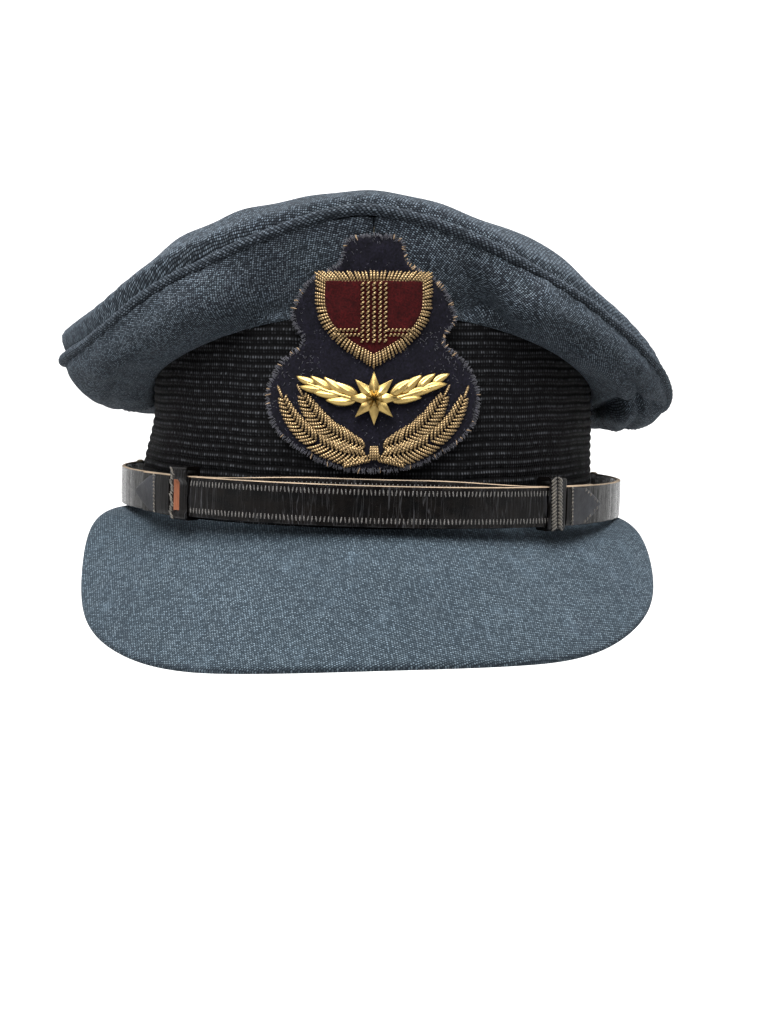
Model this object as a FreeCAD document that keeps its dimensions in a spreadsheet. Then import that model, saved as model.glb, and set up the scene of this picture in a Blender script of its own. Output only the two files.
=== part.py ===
"""Military peaked cap: a soft crown on a mohair-covered band, a cloth-covered peak, a two-piece
chin strap with sliding keepers and turning side buttons, and an embroidered front badge.

Frame: +Z up, the front of the cap faces -Y, +X is to the right of someone facing the cap.
The origin is the centre of the head opening, level with the front of the band's lower edge.
Left and right in names are as seen by someone facing the cap. Sizes are in millimetres.
"""

import FreeCAD, Part
import math
import os
import Sketcher

Vector = FreeCAD.Vector

DIMENSIONS = {
    # head band, measured on its outer face
    "band_half_width": 85.0,
    "band_half_length": 104.0,
    "band_top_side": 44.0,
    "band_top_front_rise": 27.0,
    "rim_side_rise": 4.0,
    "rim_back_rise": 2.0,
    "rim_tilt": 1.7,
    "mohair_thickness": 1.6,
    "stiffener_thickness": 1.8,
    "lining_thickness": 0.7,
    "sweatband_thickness": 1.3,
    "sweatband_height": 33.0,
    "layer_gap": 0.3,
    # crown seam, where the piping runs
    "crown_half_width": 115.5,
    "crown_front": 110.5,
    "crown_back": 124.0,
    "crown_dome_height": 106.0,
    "crown_roll": 7.5,
    "cloth_thickness": 1.4,
    "piping_radius": 1.85,
    # peak
    "peak_root_angle": 78.0,
    "peak_bulge": 4.5,
    "peak_edge_tilt": 2.0,
    "peak_cover_thickness": 1.1,
    "peak_core_thickness": 1.8,
    "peak_lining_thickness": 0.9,
    # chin strap
    "strap_width": 13.3,
    "strap_centre_back": 17.2,
    "strap_inner_radius": 89.9,
    "strap_inner_thickness": 1.6,
    "strap_outer_radius": 91.8,
    "strap_outer_thickness": 1.8,
    "strap_front_height": 3.3,
    "strap_pitch": 1.38,
    "strap_roll": 1.68,
    "strap_inner_button_angle": 101.0,
    "strap_outer_button_angle": 103.0,
    "strap_overlap_angle": 56.5,
    "strap_end_length": 17.0,
    "keeper_inner_radius": 88.4,
    "keeper_wall": 1.2,
    "keeper_outer_radius": 95.2,
    "keeper_margin": 1.4,
    "keeper_left_start_angle": 40.3,
    "keeper_right_start_angle": 37.8,
    "keeper_loop_angle": 4.8,
    "keeper_tab_angle": 13.4,
    "keeper_tab_thickness": 1.3,
    # side buttons
    "button_radius": 7.0,
    "button_height": 3.6,
    "button_shank_radius": 1.4,
    "button_shank_inside": 1.3,
    "shank_clearance": 0.05,
    "eyelet_radius": 2.8,
    "eyelet_clearance": 0.1,
    "strap_hole_radius": 1.9,
    "pin_wire_radius": 0.4,
    # front stay
    "stay_width": 10.0,
    "stay_thickness": 0.7,
    # badge
    "badge_patch_thickness": 2.2,
    "badge_emblem_thickness": 1.8,
    "badge_star_thickness": 1.8,
}

doc = FreeCAD.newDocument("peaked_cap")
sheet = doc.addObject("Spreadsheet::Sheet", "Sizes")
for row, (alias, value) in enumerate(DIMENSIONS.items(), start=1):
    sheet.set(f"A{row}", alias)
    sheet.set(f"B{row}", str(value))
    sheet.setAlias(f"B{row}", alias)
doc.recompute()


def size(alias):
    """The value of one driving dimension, read from the sheet."""
    return float(sheet.get(alias))


PARTS = []


def keep(obj, label):
    """Names a finished sub-part and lists it for export."""
    obj.Label = label
    PARTS.append(obj)
    return obj


# ---------------------------------------------------------------- curves that shape the cloth

# Height of the crown seam at every 30 degrees, from the front through +X round to the back.
SEAM_HEIGHTS = [102.4, 82.5, 57.5, 42.5, 46.0, 58.0, 66.0, 66.0, 62.0, 60.0, 63.5, 86.0]

# How the quarters bulge between band and crown seam: angle from the front, then how far out and
# how high the lower and the upper control points stand from the band edge and from the seam.
QUARTER_STATIONS = [
    (0.0, 1.2, 10.0, 1.2, -12.0),
    (16.0, 3.0, 8.0, 2.5, -12.0),
    (32.0, 13.0, 2.0, 7.0, -12.0),
    (50.0, 14.0, -6.0, 4.0, -11.0),
    (90.0, 8.0, -18.0, -3.0, -9.0),
    (135.0, 9.0, -12.0, 0.0, -10.0),
    (180.0, 10.0, -6.0, 1.0, -11.0),
]


def smooth(amount):
    """Eases 0..1 in and out."""
    amount = min(max(amount, 0.0), 1.0)
    return amount * amount * (3.0 - 2.0 * amount)


def seam_height(angle):
    """Height of the crown seam at an angle, on a smooth closed curve through SEAM_HEIGHTS."""
    count = len(SEAM_HEIGHTS)
    place = (math.degrees(angle) / 360.0 * count) % count
    index = int(place)
    part = place - index
    before, start, end, after = [SEAM_HEIGHTS[(index + k) % count] for k in (-1, 0, 1, 2)]
    bend = 2 * before - 5 * start + 4 * end - after
    twist = 3 * (start - end) + after - before
    return 0.5 * (2 * start + (end - before) * part + bend * part**2 + twist * part**3)


def seam_point(angle):
    """Centre of the piping at an angle from the front."""
    half_length = (size("crown_front") + size("crown_back")) / 2
    middle = (size("crown_back") - size("crown_front")) / 2
    x = size("crown_half_width") * math.sin(angle)
    y = middle - half_length * math.cos(angle)
    return Vector(x, y, seam_height(angle))


def rim_height(angle):
    """Height of the band's lower edge."""
    side = math.sin(angle) ** 2
    if math.cos(angle) >= 0:
        rise = size("rim_side_rise") * side
    else:
        rise = size("rim_back_rise") + (size("rim_side_rise") - size("rim_back_rise")) * side
    return rise - size("rim_tilt") * math.sin(angle)


def band_top(angle):
    """Height of the band's upper edge."""
    front = max(math.cos(angle), 0.0) ** 1.5
    return size("band_top_side") + size("band_top_front_rise") * front


def band_point(angle, inset, height):
    """A point on the band's oval, so far inside its outer face."""
    x = (size("band_half_width") - inset) * math.sin(angle)
    y = -(size("band_half_length") - inset) * math.cos(angle)
    return Vector(x, y, height)


def quarter_shape(angle):
    """The four bulge values of QUARTER_STATIONS at an angle."""
    turn = abs((math.degrees(angle) + 180.0) % 360.0 - 180.0)
    for lower, upper in zip(QUARTER_STATIONS, QUARTER_STATIONS[1:]):
        if turn <= upper[0]:
            break
    part = smooth((turn - lower[0]) / (upper[0] - lower[0]))
    return [a + (b - a) * part for a, b in zip(lower[1:], upper[1:])]


def quarter_surface(angle, travel):
    """Outer face of the quarters: travel 0 is the band's top edge, 1 the crown seam."""
    start = band_point(angle, -0.6, band_top(angle) + 0.6)
    end = seam_point(angle)
    out = Vector(math.sin(angle), -math.cos(angle), 0)
    low_out, low_rise, high_out, high_rise = quarter_shape(angle)
    low = start + out * low_out + Vector(0, 0, low_rise)
    high = end + out * high_out + Vector(0, 0, high_rise)
    rest = 1.0 - travel
    return start * rest**3 + low * 3 * rest**2 * travel + high * 3 * rest * travel**2 + end * travel**3


def crown_surface(across, along):
    """Upper face of the crown over a unit disc: across is +X, along is towards the back."""
    reach = math.hypot(across, along)
    angle = math.atan2(across, -along)
    edge = seam_point(angle)
    middle = (size("crown_back") - size("crown_front")) / 2
    weight = reach**2.2
    dome = edge.z + 0.6
    height = dome * weight + size("crown_dome_height") * (1 - weight)
    height += size("crown_roll") * (1 - reach**8)
    return Vector(edge.x * reach, middle + (edge.y - middle) * reach, height)


def front_surface(x, z):
    """Face of the band and of the flattened front of the crown, which the badge lies on."""
    curve = math.sqrt(1 - (x / size("band_half_width")) ** 2)
    lean = 0.5 * (z - 62.0 + math.hypot(z - 62.0, 6.0)) * 0.17
    return Vector(x, -size("band_half_length") * curve - 0.4 - lean, z)


# ---------------------------------------------------------------- solids between two faces


def offset(surface, u, v, depth, step=1e-3):
    """A surface point moved along the surface's normal."""
    if not depth:
        return surface(u, v)
    along_u = surface(u + step, v) - surface(u - step, v)
    along_v = surface(u, v + step) - surface(u, v - step)
    normal = along_u.cross(along_v)
    normal.normalize()
    return surface(u, v) + normal * depth


def steps(start, end, count):
    return [start + (end - start) * k / count for k in range(count + 1)]


def between(face_a, face_b, us, vs):
    """Closed solid between two faces, each a function of (u, v), with ruled sides."""
    surfaces = []
    for point in (face_a, face_b):
        surface = Part.BSplineSurface()
        surface.interpolate([[point(u, v) for v in vs] for u in us])
        surfaces.append(surface)
    faces = [surface.toShape() for surface in surfaces]
    first, second = surfaces
    u_low, u_high, v_low, v_high = first.bounds()
    edges = [(first.uIso(u_low), second.uIso(u_low)), (first.uIso(u_high), second.uIso(u_high))]
    edges += [(first.vIso(v_low), second.vIso(v_low)), (first.vIso(v_high), second.vIso(v_high))]
    for edge_a, edge_b in edges:
        rails = [Part.Wire(edge.toShape()) for edge in (edge_a, edge_b)]
        faces.extend(Part.makeLoft(rails, False, True).Faces)
    shell = Part.makeShell(faces)
    shell.sewShape()
    solid = Part.makeSolid(shell)
    if solid.Volume < 0:
        solid.reverse()
    return solid


def feature(label, shape, placement=None):
    """A Part::Feature whose shape is set from Part's own functions."""
    obj = doc.addObject("Part::Feature", label)
    obj.Shape = shape
    if placement:
        obj.Placement = placement
    return keep(obj, label)


def shell_layer(surface, near, far, us, vs):
    """Solid layer between two depths under a surface."""
    return between(
        lambda u, v: offset(surface, u, v, near),
        lambda u, v: offset(surface, u, v, far),
        us,
        vs,
    )


BACK_SEAM = math.radians(179.8)
ROUND = steps(-BACK_SEAM, BACK_SEAM, 48)


def band_layer(label, outer_inset, thickness, bottom, top):
    """A strip of the band, bent round the head and butted at the back seam."""
    solid = between(
        lambda angle, part: band_point(angle, outer_inset, bottom(angle) * (1 - part) + top(angle) * part),
        lambda angle, part: band_point(
            angle, outer_inset + thickness, bottom(angle) * (1 - part) + top(angle) * part
        ),
        ROUND,
        steps(0.0, 1.0, 4),
    )
    return feature(label, solid)


# ---------------------------------------------------------------- crown


def build_crown():
    cloth = size("cloth_thickness")
    reach = 0.985

    def disc(u, v):
        return u * math.sqrt(1 - v * v / 2) * reach, v * math.sqrt(1 - u * u / 2) * reach

    def layer(depth):
        return lambda u, v: offset(crown_surface, *disc(u, v), depth)

    grid = steps(-1.0, 1.0, 18)
    feature("crown_top", between(layer(0.0), layer(-cloth), grid, grid))

    spans = {
        "quarter_front_left": (-89.85, -0.15),
        "quarter_front_right": (0.15, 89.85),
        "quarter_rear_right": (90.15, 179.85),
        "quarter_rear_left": (180.15, 269.85),
    }
    for label, (start, end) in spans.items():
        angles = steps(math.radians(start), math.radians(end), 16)
        travel = steps(0.0, 0.93, 10)
        feature(label, shell_layer(quarter_surface, 0.0, -cloth, angles, travel))

    circles = []
    for angle in ROUND:
        ahead = seam_point(angle + 0.01) - seam_point(angle - 0.01)
        circle = Part.Circle(seam_point(angle), ahead, size("piping_radius"))
        circles.append(Part.Wire(circle.toShape()))
    feature("crown_piping", Part.makeLoft(circles, True, False))


# heights of the front stay's foot, bend and tip, and how far the tip leans out past the band
STAY_FOOT = 6.0
STAY_BEND = 70.0
STAY_TIP = 94.0
STAY_LEAN = 2.4
STAY_CLEARANCE = 0.5


def build_front_supports():
    """The stay that props up the front of the crown, and the stiff canvas in front of it."""
    canvas_angles = steps(math.radians(-17.0), math.radians(17.0), 10)
    canvas = shell_layer(quarter_surface, -2.2, -3.0, canvas_angles, steps(0.08, 0.86, 8))
    feature("front_canvas", canvas)

    body = doc.addObject("PartDesign::Body", "front_stay")
    sketch = new_sketch(body, "stay_profile", "YZ_Plane")
    wall = size("mohair_thickness") + size("stiffener_thickness") + STAY_CLEARANCE
    inner = wall - size("band_half_length")
    thick = size("stay_thickness")
    corners = [
        (inner, STAY_FOOT),
        (inner, STAY_BEND),
        (inner - STAY_LEAN, STAY_TIP),
        (inner - STAY_LEAN + thick, STAY_TIP),
        (inner + thick, STAY_BEND),
        (inner + thick, STAY_FOOT),
    ]
    for (y0, z0), (y1, z1) in zip(corners, corners[1:] + corners[:1]):
        sketch.addGeometry(Part.LineSegment(Vector(y0, z0, 0), Vector(y1, z1, 0)), False)
    for index in range(len(corners)):
        follower = (index + 1) % len(corners)
        sketch.addConstraint(Sketcher.Constraint("Coincident", index, 2, follower, 1))
    pad = body.newObject("PartDesign::Pad", "stay_pad")
    pad.Profile = sketch
    pad.setExpression("Length", "Sizes.stay_width")
    pad.SideType = "Symmetric"
    keep(body, "front_stay")


# ---------------------------------------------------------------- head band and lining


def build_band():
    gap = size("layer_gap")
    mohair = size("mohair_thickness")
    band_layer("mohair_band", 0.0, mohair, lambda a: rim_height(a) + 0.3, band_top)
    stiffener_inset = mohair + gap
    band_layer(
        "band_stiffener",
        stiffener_inset,
        size("stiffener_thickness"),
        lambda a: rim_height(a) + 0.3,
        lambda a: band_top(a) - 1.0,
    )
    lining_inset = stiffener_inset + size("stiffener_thickness") + 1.2
    sweat_inset = lining_inset + size("lining_thickness") + 0.9
    band_layer(
        "sweatband",
        sweat_inset,
        size("sweatband_thickness"),
        lambda a: rim_height(a) + 0.5,
        lambda a: rim_height(a) + size("sweatband_height"),
    )
    reed_outer = stiffener_inset + size("stiffener_thickness") + gap
    band_layer(
        "sweatband_reed",
        reed_outer,
        sweat_inset - reed_outer - 0.1,
        lambda a: rim_height(a) + 0.3,
        lambda a: rim_height(a) + 2.2,
    )

    def side_lining(angle, part):
        """From behind the sweatband up and inwards, as a soft drum."""
        low = band_point(angle, lining_inset, 28.0)
        high = Vector(56.0 * math.sin(angle), -70.0 * math.cos(angle), 67.0)
        wall = band_point(angle, lining_inset, 60.0)
        shoulder = Vector(71.0 * math.sin(angle), -89.0 * math.cos(angle), 67.0)
        rest = 1.0 - part
        return low * rest**3 + wall * 3 * rest**2 * part + shoulder * 3 * rest * part**2 + high * part**3

    thickness = size("lining_thickness")
    lining = shell_layer(side_lining, 0.0, -thickness, ROUND, steps(0.0, 1.0, 8))
    feature("lining_side", lining)

    def top_lining(u, v, depth):
        across = u * math.sqrt(1 - v * v / 2)
        along = v * math.sqrt(1 - u * u / 2)
        rise = 5.0 * (1 - across**2 - along**2)
        return Vector(55.2 * across, 69.2 * along, 66.9 + rise - depth)

    grid = steps(-1.0, 1.0, 10)
    panel = between(lambda u, v: top_lining(u, v, 0), lambda u, v: top_lining(u, v, thickness), grid, grid)
    feature("lining_top", panel)
    shield = between(
        lambda u, v: top_lining(u * 0.62, v * 0.62, thickness + 0.3),
        lambda u, v: top_lining(u * 0.62, v * 0.62, thickness + 0.6),
        grid,
        grid,
    )
    feature("sweat_shield", shield)


# ---------------------------------------------------------------- peak

# Outer edge of the peak from its right-hand corner to the middle of the front.
PEAK_EDGE = [
    (87.0, -14.0, 3.4),
    (92.5, -36.0, 3.2),
    (96.5, -54.0, -1.5),
    (97.5, -70.0, -14.0),
    (93.5, -86.0, -27.0),
    (80.0, -102.0, -36.0),
    (45.0, -127.0, -38.5),
    (0.0, -138.5, -37.0),
]


def peak_edge_curve():
    """The peak's whole outer edge, from left to right, its two sides a little uneven."""
    half_width = size("band_half_width")
    points = []
    for x, y, z in [(-x, y, z) for x, y, z in PEAK_EDGE] + PEAK_EDGE[-2::-1]:
        drop = smooth(-z / 30.0)
        tilt = -size("rim_tilt") * (1 - drop) + size("peak_edge_tilt") * drop
        points.append(Vector(x, y, z + tilt * x / half_width))
    curve = Part.BSplineCurve()
    curve.interpolate(points)
    return curve


def build_peak():
    curve = peak_edge_curve()
    length = curve.length()
    root_angle = math.radians(size("peak_root_angle"))

    def surface(side, travel):
        """Upper face: side runs -1..1 round the head, travel 0..1 from the band to the edge."""
        along = min(max((side + 1) / 2, 0.0), 1.0)
        edge = curve.value(curve.parameterAtDistance(along * length))
        angle = root_angle * side
        root = band_point(angle, -0.3, rim_height(angle) + 0.3)
        middle = (root + edge) * 0.5
        out = Vector(math.sin(angle) * 0.7, -math.cos(angle) * 0.7, 0.7)
        crest = middle + out * size("peak_bulge") * (1 - 0.6 * side**4)
        rest = 1 - travel
        return root * rest**2 + crest * 2 * rest * travel + edge * travel**2

    cover = size("peak_cover_thickness")
    core = size("peak_core_thickness")
    lining = size("peak_lining_thickness")
    sides = steps(-0.985, 0.985, 40)
    depths = {
        "peak_cover": (0.0, cover, 1.0),
        "peak_core": (cover + 0.1, cover + 0.1 + core, 0.985),
        "peak_lining": (cover + core + 0.2, cover + core + lining + 0.2, 0.995),
    }
    for label, (near, far, reach) in depths.items():
        feature(label, shell_layer(surface, near, far, sides, steps(0.0, reach, 10)))


# ---------------------------------------------------------------- PartDesign helpers


def new_sketch(body, name, role):
    """A sketch on one of the body's own origin planes."""
    sketch = body.newObject("Sketcher::SketchObject", name)
    plane = [item for item in body.Origin.OriginFeatures if item.Role == role][0]
    sketch.AttachmentSupport = [(plane, "")]
    sketch.MapMode = "FlatFace"
    return sketch


def rectangle(sketch, left, width, bottom, height):
    """An upright rectangle; each argument is an expression on the sheet."""
    first = sketch.GeometryCount
    corners = [(1, 1), (2, 1), (2, 2), (1, 2)]
    for (x0, y0), (x1, y1) in zip(corners, corners[1:] + corners[:1]):
        sketch.addGeometry(Part.LineSegment(Vector(x0, y0, 0), Vector(x1, y1, 0)), False)
    for index in range(4):
        follower = first + (index + 1) % 4
        sketch.addConstraint(Sketcher.Constraint("Coincident", first + index, 2, follower, 1))
    for index, direction in enumerate(["Horizontal", "Vertical", "Horizontal", "Vertical"]):
        sketch.addConstraint(Sketcher.Constraint(direction, first + index))
    sizes = [
        ("DistanceX", (-1, 1, first, 1), left),
        ("DistanceX", (first, 1, first, 2), width),
        ("DistanceY", (-1, 1, first, 1), bottom),
        ("DistanceY", (first + 1, 1, first + 1, 2), height),
    ]
    for kind, places, expression in sizes:
        index = sketch.addConstraint(Sketcher.Constraint(kind, *places, 1.0))
        sketch.setExpression(f"Constraints[{index}]", expression)


def circle(sketch, x, y, radius):
    """A circle; each argument is an expression on the sheet."""
    index = sketch.addGeometry(Part.Circle(Vector(1, 1, 0), Vector(0, 0, 1), 1.0), False)
    sizes = [
        ("DistanceX", (-1, 1, index, 3), x),
        ("DistanceY", (-1, 1, index, 3), y),
        ("Radius", (index,), radius),
    ]
    for kind, places, expression in sizes:
        number = sketch.addConstraint(Sketcher.Constraint(kind, *places, 1.0))
        sketch.setExpression(f"Constraints[{number}]", expression)


def revolve(body, name, sketch, angle, reverse):
    """Turns a sketch about the body's upright axis."""
    turn = body.newObject("PartDesign::Revolution", name)
    turn.Profile = sketch
    turn.ReferenceAxis = (sketch, ["V_Axis"])
    turn.setExpression("Angle", angle)
    turn.Reversed = reverse
    return turn


# ---------------------------------------------------------------- chin strap


def strap_place(turn):
    """Placement of the strap's own frame, turned about its upright axis by an angle in degrees."""
    pitch = FreeCAD.Rotation(Vector(1, 0, 0), size("strap_pitch"))
    roll = FreeCAD.Rotation(Vector(0, 1, 0), size("strap_roll"))
    spin = FreeCAD.Rotation(Vector(0, 0, 1), turn)
    reach = size("strap_outer_radius")
    height = size("strap_front_height") + reach * math.sin(math.radians(size("strap_pitch")))
    centre = Vector(0, -size("strap_centre_back"), height)
    return FreeCAD.Placement(centre, roll.multiply(pitch).multiply(spin))


def strap_end_place(side):
    """Placement whose +X axis points at the start of a strap's straight end, right or left."""
    layer = "outer" if side > 0 else "inner"
    turn = size(f"strap_{layer}_button_angle") - 90.0
    return strap_place(turn if side > 0 else 180.0 - turn)


def build_strap(label, layer, side):
    """One strap: an arc from its own button round the front, with a straight end at the button."""
    body = doc.addObject("PartDesign::Body", label)
    span = f"Sizes.strap_{layer}_button_angle + Sizes.strap_overlap_angle"
    outline = [f"Sizes.strap_{layer}_radius", f"Sizes.strap_{layer}_thickness", "0", "Sizes.strap_width"]
    sketch = new_sketch(body, label + "_section", "XZ_Plane")
    rectangle(sketch, *outline)
    revolve(body, label + "_arc", sketch, span, reverse=side > 0)
    end_sketch = new_sketch(body, label + "_end_section", "XZ_Plane")
    rectangle(end_sketch, *outline)
    end = body.newObject("PartDesign::Pad", label + "_end")
    end.Profile = end_sketch
    end.setExpression("Length", "Sizes.strap_end_length")
    end.Reversed = side > 0
    hole_sketch = new_sketch(body, label + "_hole_circle", "YZ_Plane")
    offset_y = "Sizes.strap_end_length * 0.55" if side > 0 else "-Sizes.strap_end_length * 0.55"
    circle(hole_sketch, offset_y, "Sizes.strap_width / 2", "Sizes.strap_hole_radius")
    hole = body.newObject("PartDesign::Pocket", label + "_hole")
    hole.Profile = hole_sketch
    hole.Type = "ThroughAll"
    hole.Reversed = True
    body.Placement = strap_end_place(side)
    keep(body, label)


def build_keeper(side):
    """A leather loop round both straps, with its stitched, pointed tab on the outer face."""
    name = "right" if side > 0 else "left"
    start = size(f"keeper_{name}_start_angle")
    turn = start - 90.0 if side > 0 else 270.0 - start

    loop = doc.addObject("PartDesign::Body", "keeper_" + name)
    sketch = new_sketch(loop, f"keeper_{name}_section", "XZ_Plane")
    depth = "Sizes.keeper_outer_radius - Sizes.keeper_inner_radius"
    margin = "Sizes.keeper_margin"
    wall = "Sizes.keeper_wall"
    rectangle(sketch, "Sizes.keeper_inner_radius", depth, "-" + margin, f"Sizes.strap_width + 2 * {margin}")
    rectangle(
        sketch,
        f"Sizes.keeper_inner_radius + {wall}",
        f"{depth} - 2 * {wall}",
        f"-{margin} + {wall} * 0.8",
        f"Sizes.strap_width + 2 * {margin} - 1.6 * {wall}",
    )
    revolve(loop, f"keeper_{name}_loop", sketch, "Sizes.keeper_loop_angle", reverse=side < 0)
    loop.Placement = strap_place(turn)
    keep(loop, "keeper_" + name)

    tab = doc.addObject("PartDesign::Body", "keeper_tab_" + name)
    profile = new_sketch(tab, f"keeper_tab_{name}_section", "XZ_Plane")
    radius = "Sizes.strap_outer_radius + Sizes.strap_outer_thickness + 0.3"
    rectangle(profile, radius, "Sizes.keeper_tab_thickness", "0.4", "Sizes.strap_width - 0.8")
    revolve(tab, f"keeper_tab_{name}_arc", profile, "Sizes.keeper_tab_angle", reverse=side < 0)
    point = new_sketch(tab, f"keeper_tab_{name}_point", "YZ_Plane")
    outer_face = size("strap_outer_radius") + size("strap_outer_thickness") + size("keeper_tab_thickness")
    reach = outer_face * math.sin(math.radians(size("keeper_tab_angle")))
    shoulder = reach * 0.45
    middle = size("strap_width") / 2
    for level, beyond in ((0.4, -1.0), (size("strap_width") - 0.4, size("strap_width") + 1.0)):
        corners = [(shoulder, level), (shoulder, beyond), (reach + 3.0, beyond)]
        corners += [(reach + 3.0, middle), (reach - 0.5, middle)]
        first = point.GeometryCount
        for (y0, z0), (y1, z1) in zip(corners, corners[1:] + corners[:1]):
            ends = [Vector(side * y0, z0, 0), Vector(side * y1, z1, 0)]
            point.addGeometry(Part.LineSegment(*ends), False)
        for index in range(len(corners)):
            follower = first + (index + 1) % len(corners)
            point.addConstraint(Sketcher.Constraint("Coincident", first + index, 2, follower, 1))
    cut = tab.newObject("PartDesign::Pocket", f"keeper_tab_{name}_cut")
    cut.Profile = point
    cut.Type = "ThroughAll"
    cut.Reversed = True
    tab.Placement = strap_place(turn + side * size("keeper_loop_angle"))
    keep(tab, "keeper_tab_" + name)


def build_chin_strap():
    build_strap("strap_outer", "outer", 1)
    build_strap("strap_inner", "inner", -1)
    for side in (-1, 1):
        build_keeper(side)


# ---------------------------------------------------------------- side buttons


def button_axis(side):
    """Where a side button's shank leaves the strap's outer face, and which way is outwards."""
    place = strap_end_place(side)
    layer = "outer" if side > 0 else "inner"
    face = size(f"strap_{layer}_radius") + size(f"strap_{layer}_thickness")
    along = size("strap_end_length") * 0.55 * side
    centre = place.multVec(Vector(face, along, size("strap_width") / 2))
    outwards = place.Rotation.multVec(Vector(1, 0, 0))
    return centre, outwards


def build_button(side):
    name = "right" if side > 0 else "left"
    centre, outwards = button_axis(side)
    rotation = FreeCAD.Rotation(Vector(0, 0, 1), outwards)

    face = doc.addObject("PartDesign::Body", "button_" + name)
    sketch = new_sketch(face, f"button_{name}_profile", "XZ_Plane")
    radius = size("button_radius")
    tall = size("button_height")
    low = 0.4
    lip = 1.0
    crest = 1.0
    top = low + tall
    middle = Vector(radius * 0.62, low + lip + (tall - lip) * 0.72, 0)
    corners = [Vector(0, top, 0), Vector(0, low, 0), Vector(radius, low, 0), Vector(radius, low + lip, 0)]
    for start, end in zip(corners, corners[1:]):
        sketch.addGeometry(Part.LineSegment(start, end), False)
    sketch.addGeometry(Part.Arc(corners[-1], middle, Vector(crest, top, 0)), False)
    sketch.addGeometry(Part.LineSegment(Vector(crest, top, 0), corners[0]), False)
    dome_start = 1 if sketch.getPoint(3, 1).distanceToPoint(corners[-1]) < 0.01 else 2
    joins = [(0, 2, 1, 1), (1, 2, 2, 1), (2, 2, 3, dome_start), (3, 3 - dome_start, 4, 1), (4, 2, 0, 1)]
    for places in joins:
        sketch.addConstraint(Sketcher.Constraint("Coincident", *places))
    turn = face.newObject("PartDesign::Revolution", f"button_{name}_turn")
    turn.Profile = sketch
    turn.ReferenceAxis = (sketch, ["V_Axis"])
    turn.Angle = 360.0
    face.Placement = FreeCAD.Placement(centre, rotation)
    keep(face, "button_" + name)

    shank = doc.addObject("Part::Cylinder", "button_shank_" + name)
    shank.setExpression("Radius", "Sizes.button_shank_radius")
    reach = band_gap(side) + band_wall() + size("button_shank_inside")
    shank.Height = reach + low
    shank.Placement = FreeCAD.Placement(centre - outwards * reach, rotation)
    keep(shank, "button_shank_" + name)

    # the pin's two legs grip the shank just inside the band
    wire = size("pin_wire_radius")
    ring = doc.addObject("Part::Torus", "split_pin_" + name)
    ring.Radius1 = size("button_shank_radius") + wire + 0.02
    ring.setExpression("Radius2", "Sizes.pin_wire_radius")
    inner_end = centre - outwards * (reach - wire - 0.1)
    ring.Placement = FreeCAD.Placement(inner_end, rotation)
    keep(ring, "split_pin_" + name)
    return centre, outwards, rotation


def band_wall():
    """Thickness of the mohair, the stiffener and the gap between them."""
    return size("mohair_thickness") + size("layer_gap") + size("stiffener_thickness")


def cut_shank_holes(labels, radius):
    """Opens the band's layers where the button shanks pass."""
    for obj in PARTS:
        if obj.Label not in labels:
            continue
        shape = obj.Shape
        for side in (-1, 1):
            centre, outwards = button_axis(side)
            drill = Part.makeCylinder(radius, 20.0, centre - outwards * 20.0, outwards)
            shape = shape.cut(drill)
        obj.Shape = shape


def build_eyelet(side):
    """The brass eyelet that lines the shank's hole through mohair and stiffener."""
    name = "right" if side > 0 else "left"
    centre, outwards = button_axis(side)
    bore = size("button_shank_radius") + size("shank_clearance")
    depth = band_wall()
    wall = band_gap(side) + 0.2
    eyelet = doc.addObject("Part::Cut", "eyelet_" + name)
    tube = doc.addObject("Part::Cylinder", "eyelet_tube_" + name)
    hole = doc.addObject("Part::Cylinder", "eyelet_bore_" + name)
    tube.Radius = size("eyelet_radius") - size("eyelet_clearance")
    tube.Height = depth
    hole.Radius = bore
    hole.Height = depth + 2.0
    rotation = FreeCAD.Rotation(Vector(0, 0, 1), outwards)
    tube.Placement = FreeCAD.Placement(centre - outwards * (wall + depth), rotation)
    hole.Placement = FreeCAD.Placement(centre - outwards * (wall + depth + 1.0), rotation)
    eyelet.Base = tube
    eyelet.Tool = hole
    keep(eyelet, "eyelet_" + name)


def band_gap(side):
    """Distance along the shank from the strap's outer face to the band's outer face."""
    centre, outwards = button_axis(side)
    low, high = 0.0, 20.0
    for _ in range(40):
        middle = (low + high) / 2
        point = centre - outwards * middle
        inside = math.hypot(point.x / size("band_half_width"), point.y / size("band_half_length")) < 1
        low, high = (low, middle) if inside else (middle, high)
    return low


# ---------------------------------------------------------------- badge


def badge_slab(near, far):
    """Curved slab that follows the front of the cap, from one standoff to another."""

    def face(standoff):
        return lambda x, z: front_surface(x, z) - Vector(0, standoff, 0)

    return between(face(near), face(far), steps(-42.0, 42.0, 14), steps(16.0, 100.0, 10))


def flat_outline(points, smooth_line):
    """A closed outline in the XZ plane, as a face ready to be pushed through the slab."""
    corners = [Vector(x, -60.0, z) for x, z in points]
    if smooth_line:
        curve = Part.BSplineCurve()
        curve.interpolate(corners, PeriodicFlag=True)
        wire = Part.Wire(curve.toShape())
    else:
        wire = Part.makePolygon(corners + corners[:1])
    return Part.Face(wire)


def mirrored(points):
    """The right-hand half of an outline, from top to bottom, closed with its left-hand half."""
    left = [(-x, z) for x, z in reversed(points) if x > 0]
    return points + left


def shield_outline(half_width, top, bottom, shoulder):
    """A plain heater shield: flat top, sides curving in to a point."""
    sides = []
    for part in steps(0.0, 1.0, 6):
        sides.append((half_width * (1 - part**2.2), shoulder - (shoulder - bottom) * part))
    return mirrored([(0.0, top), (half_width, top)] + sides)


def star_outline(points, outer, inner, height):
    outline = []
    for index in range(2 * points):
        radius = inner if index % 2 else outer
        angle = math.pi * index / points
        outline.append((radius * math.sin(angle), height + radius * math.cos(angle)))
    return outline


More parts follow.
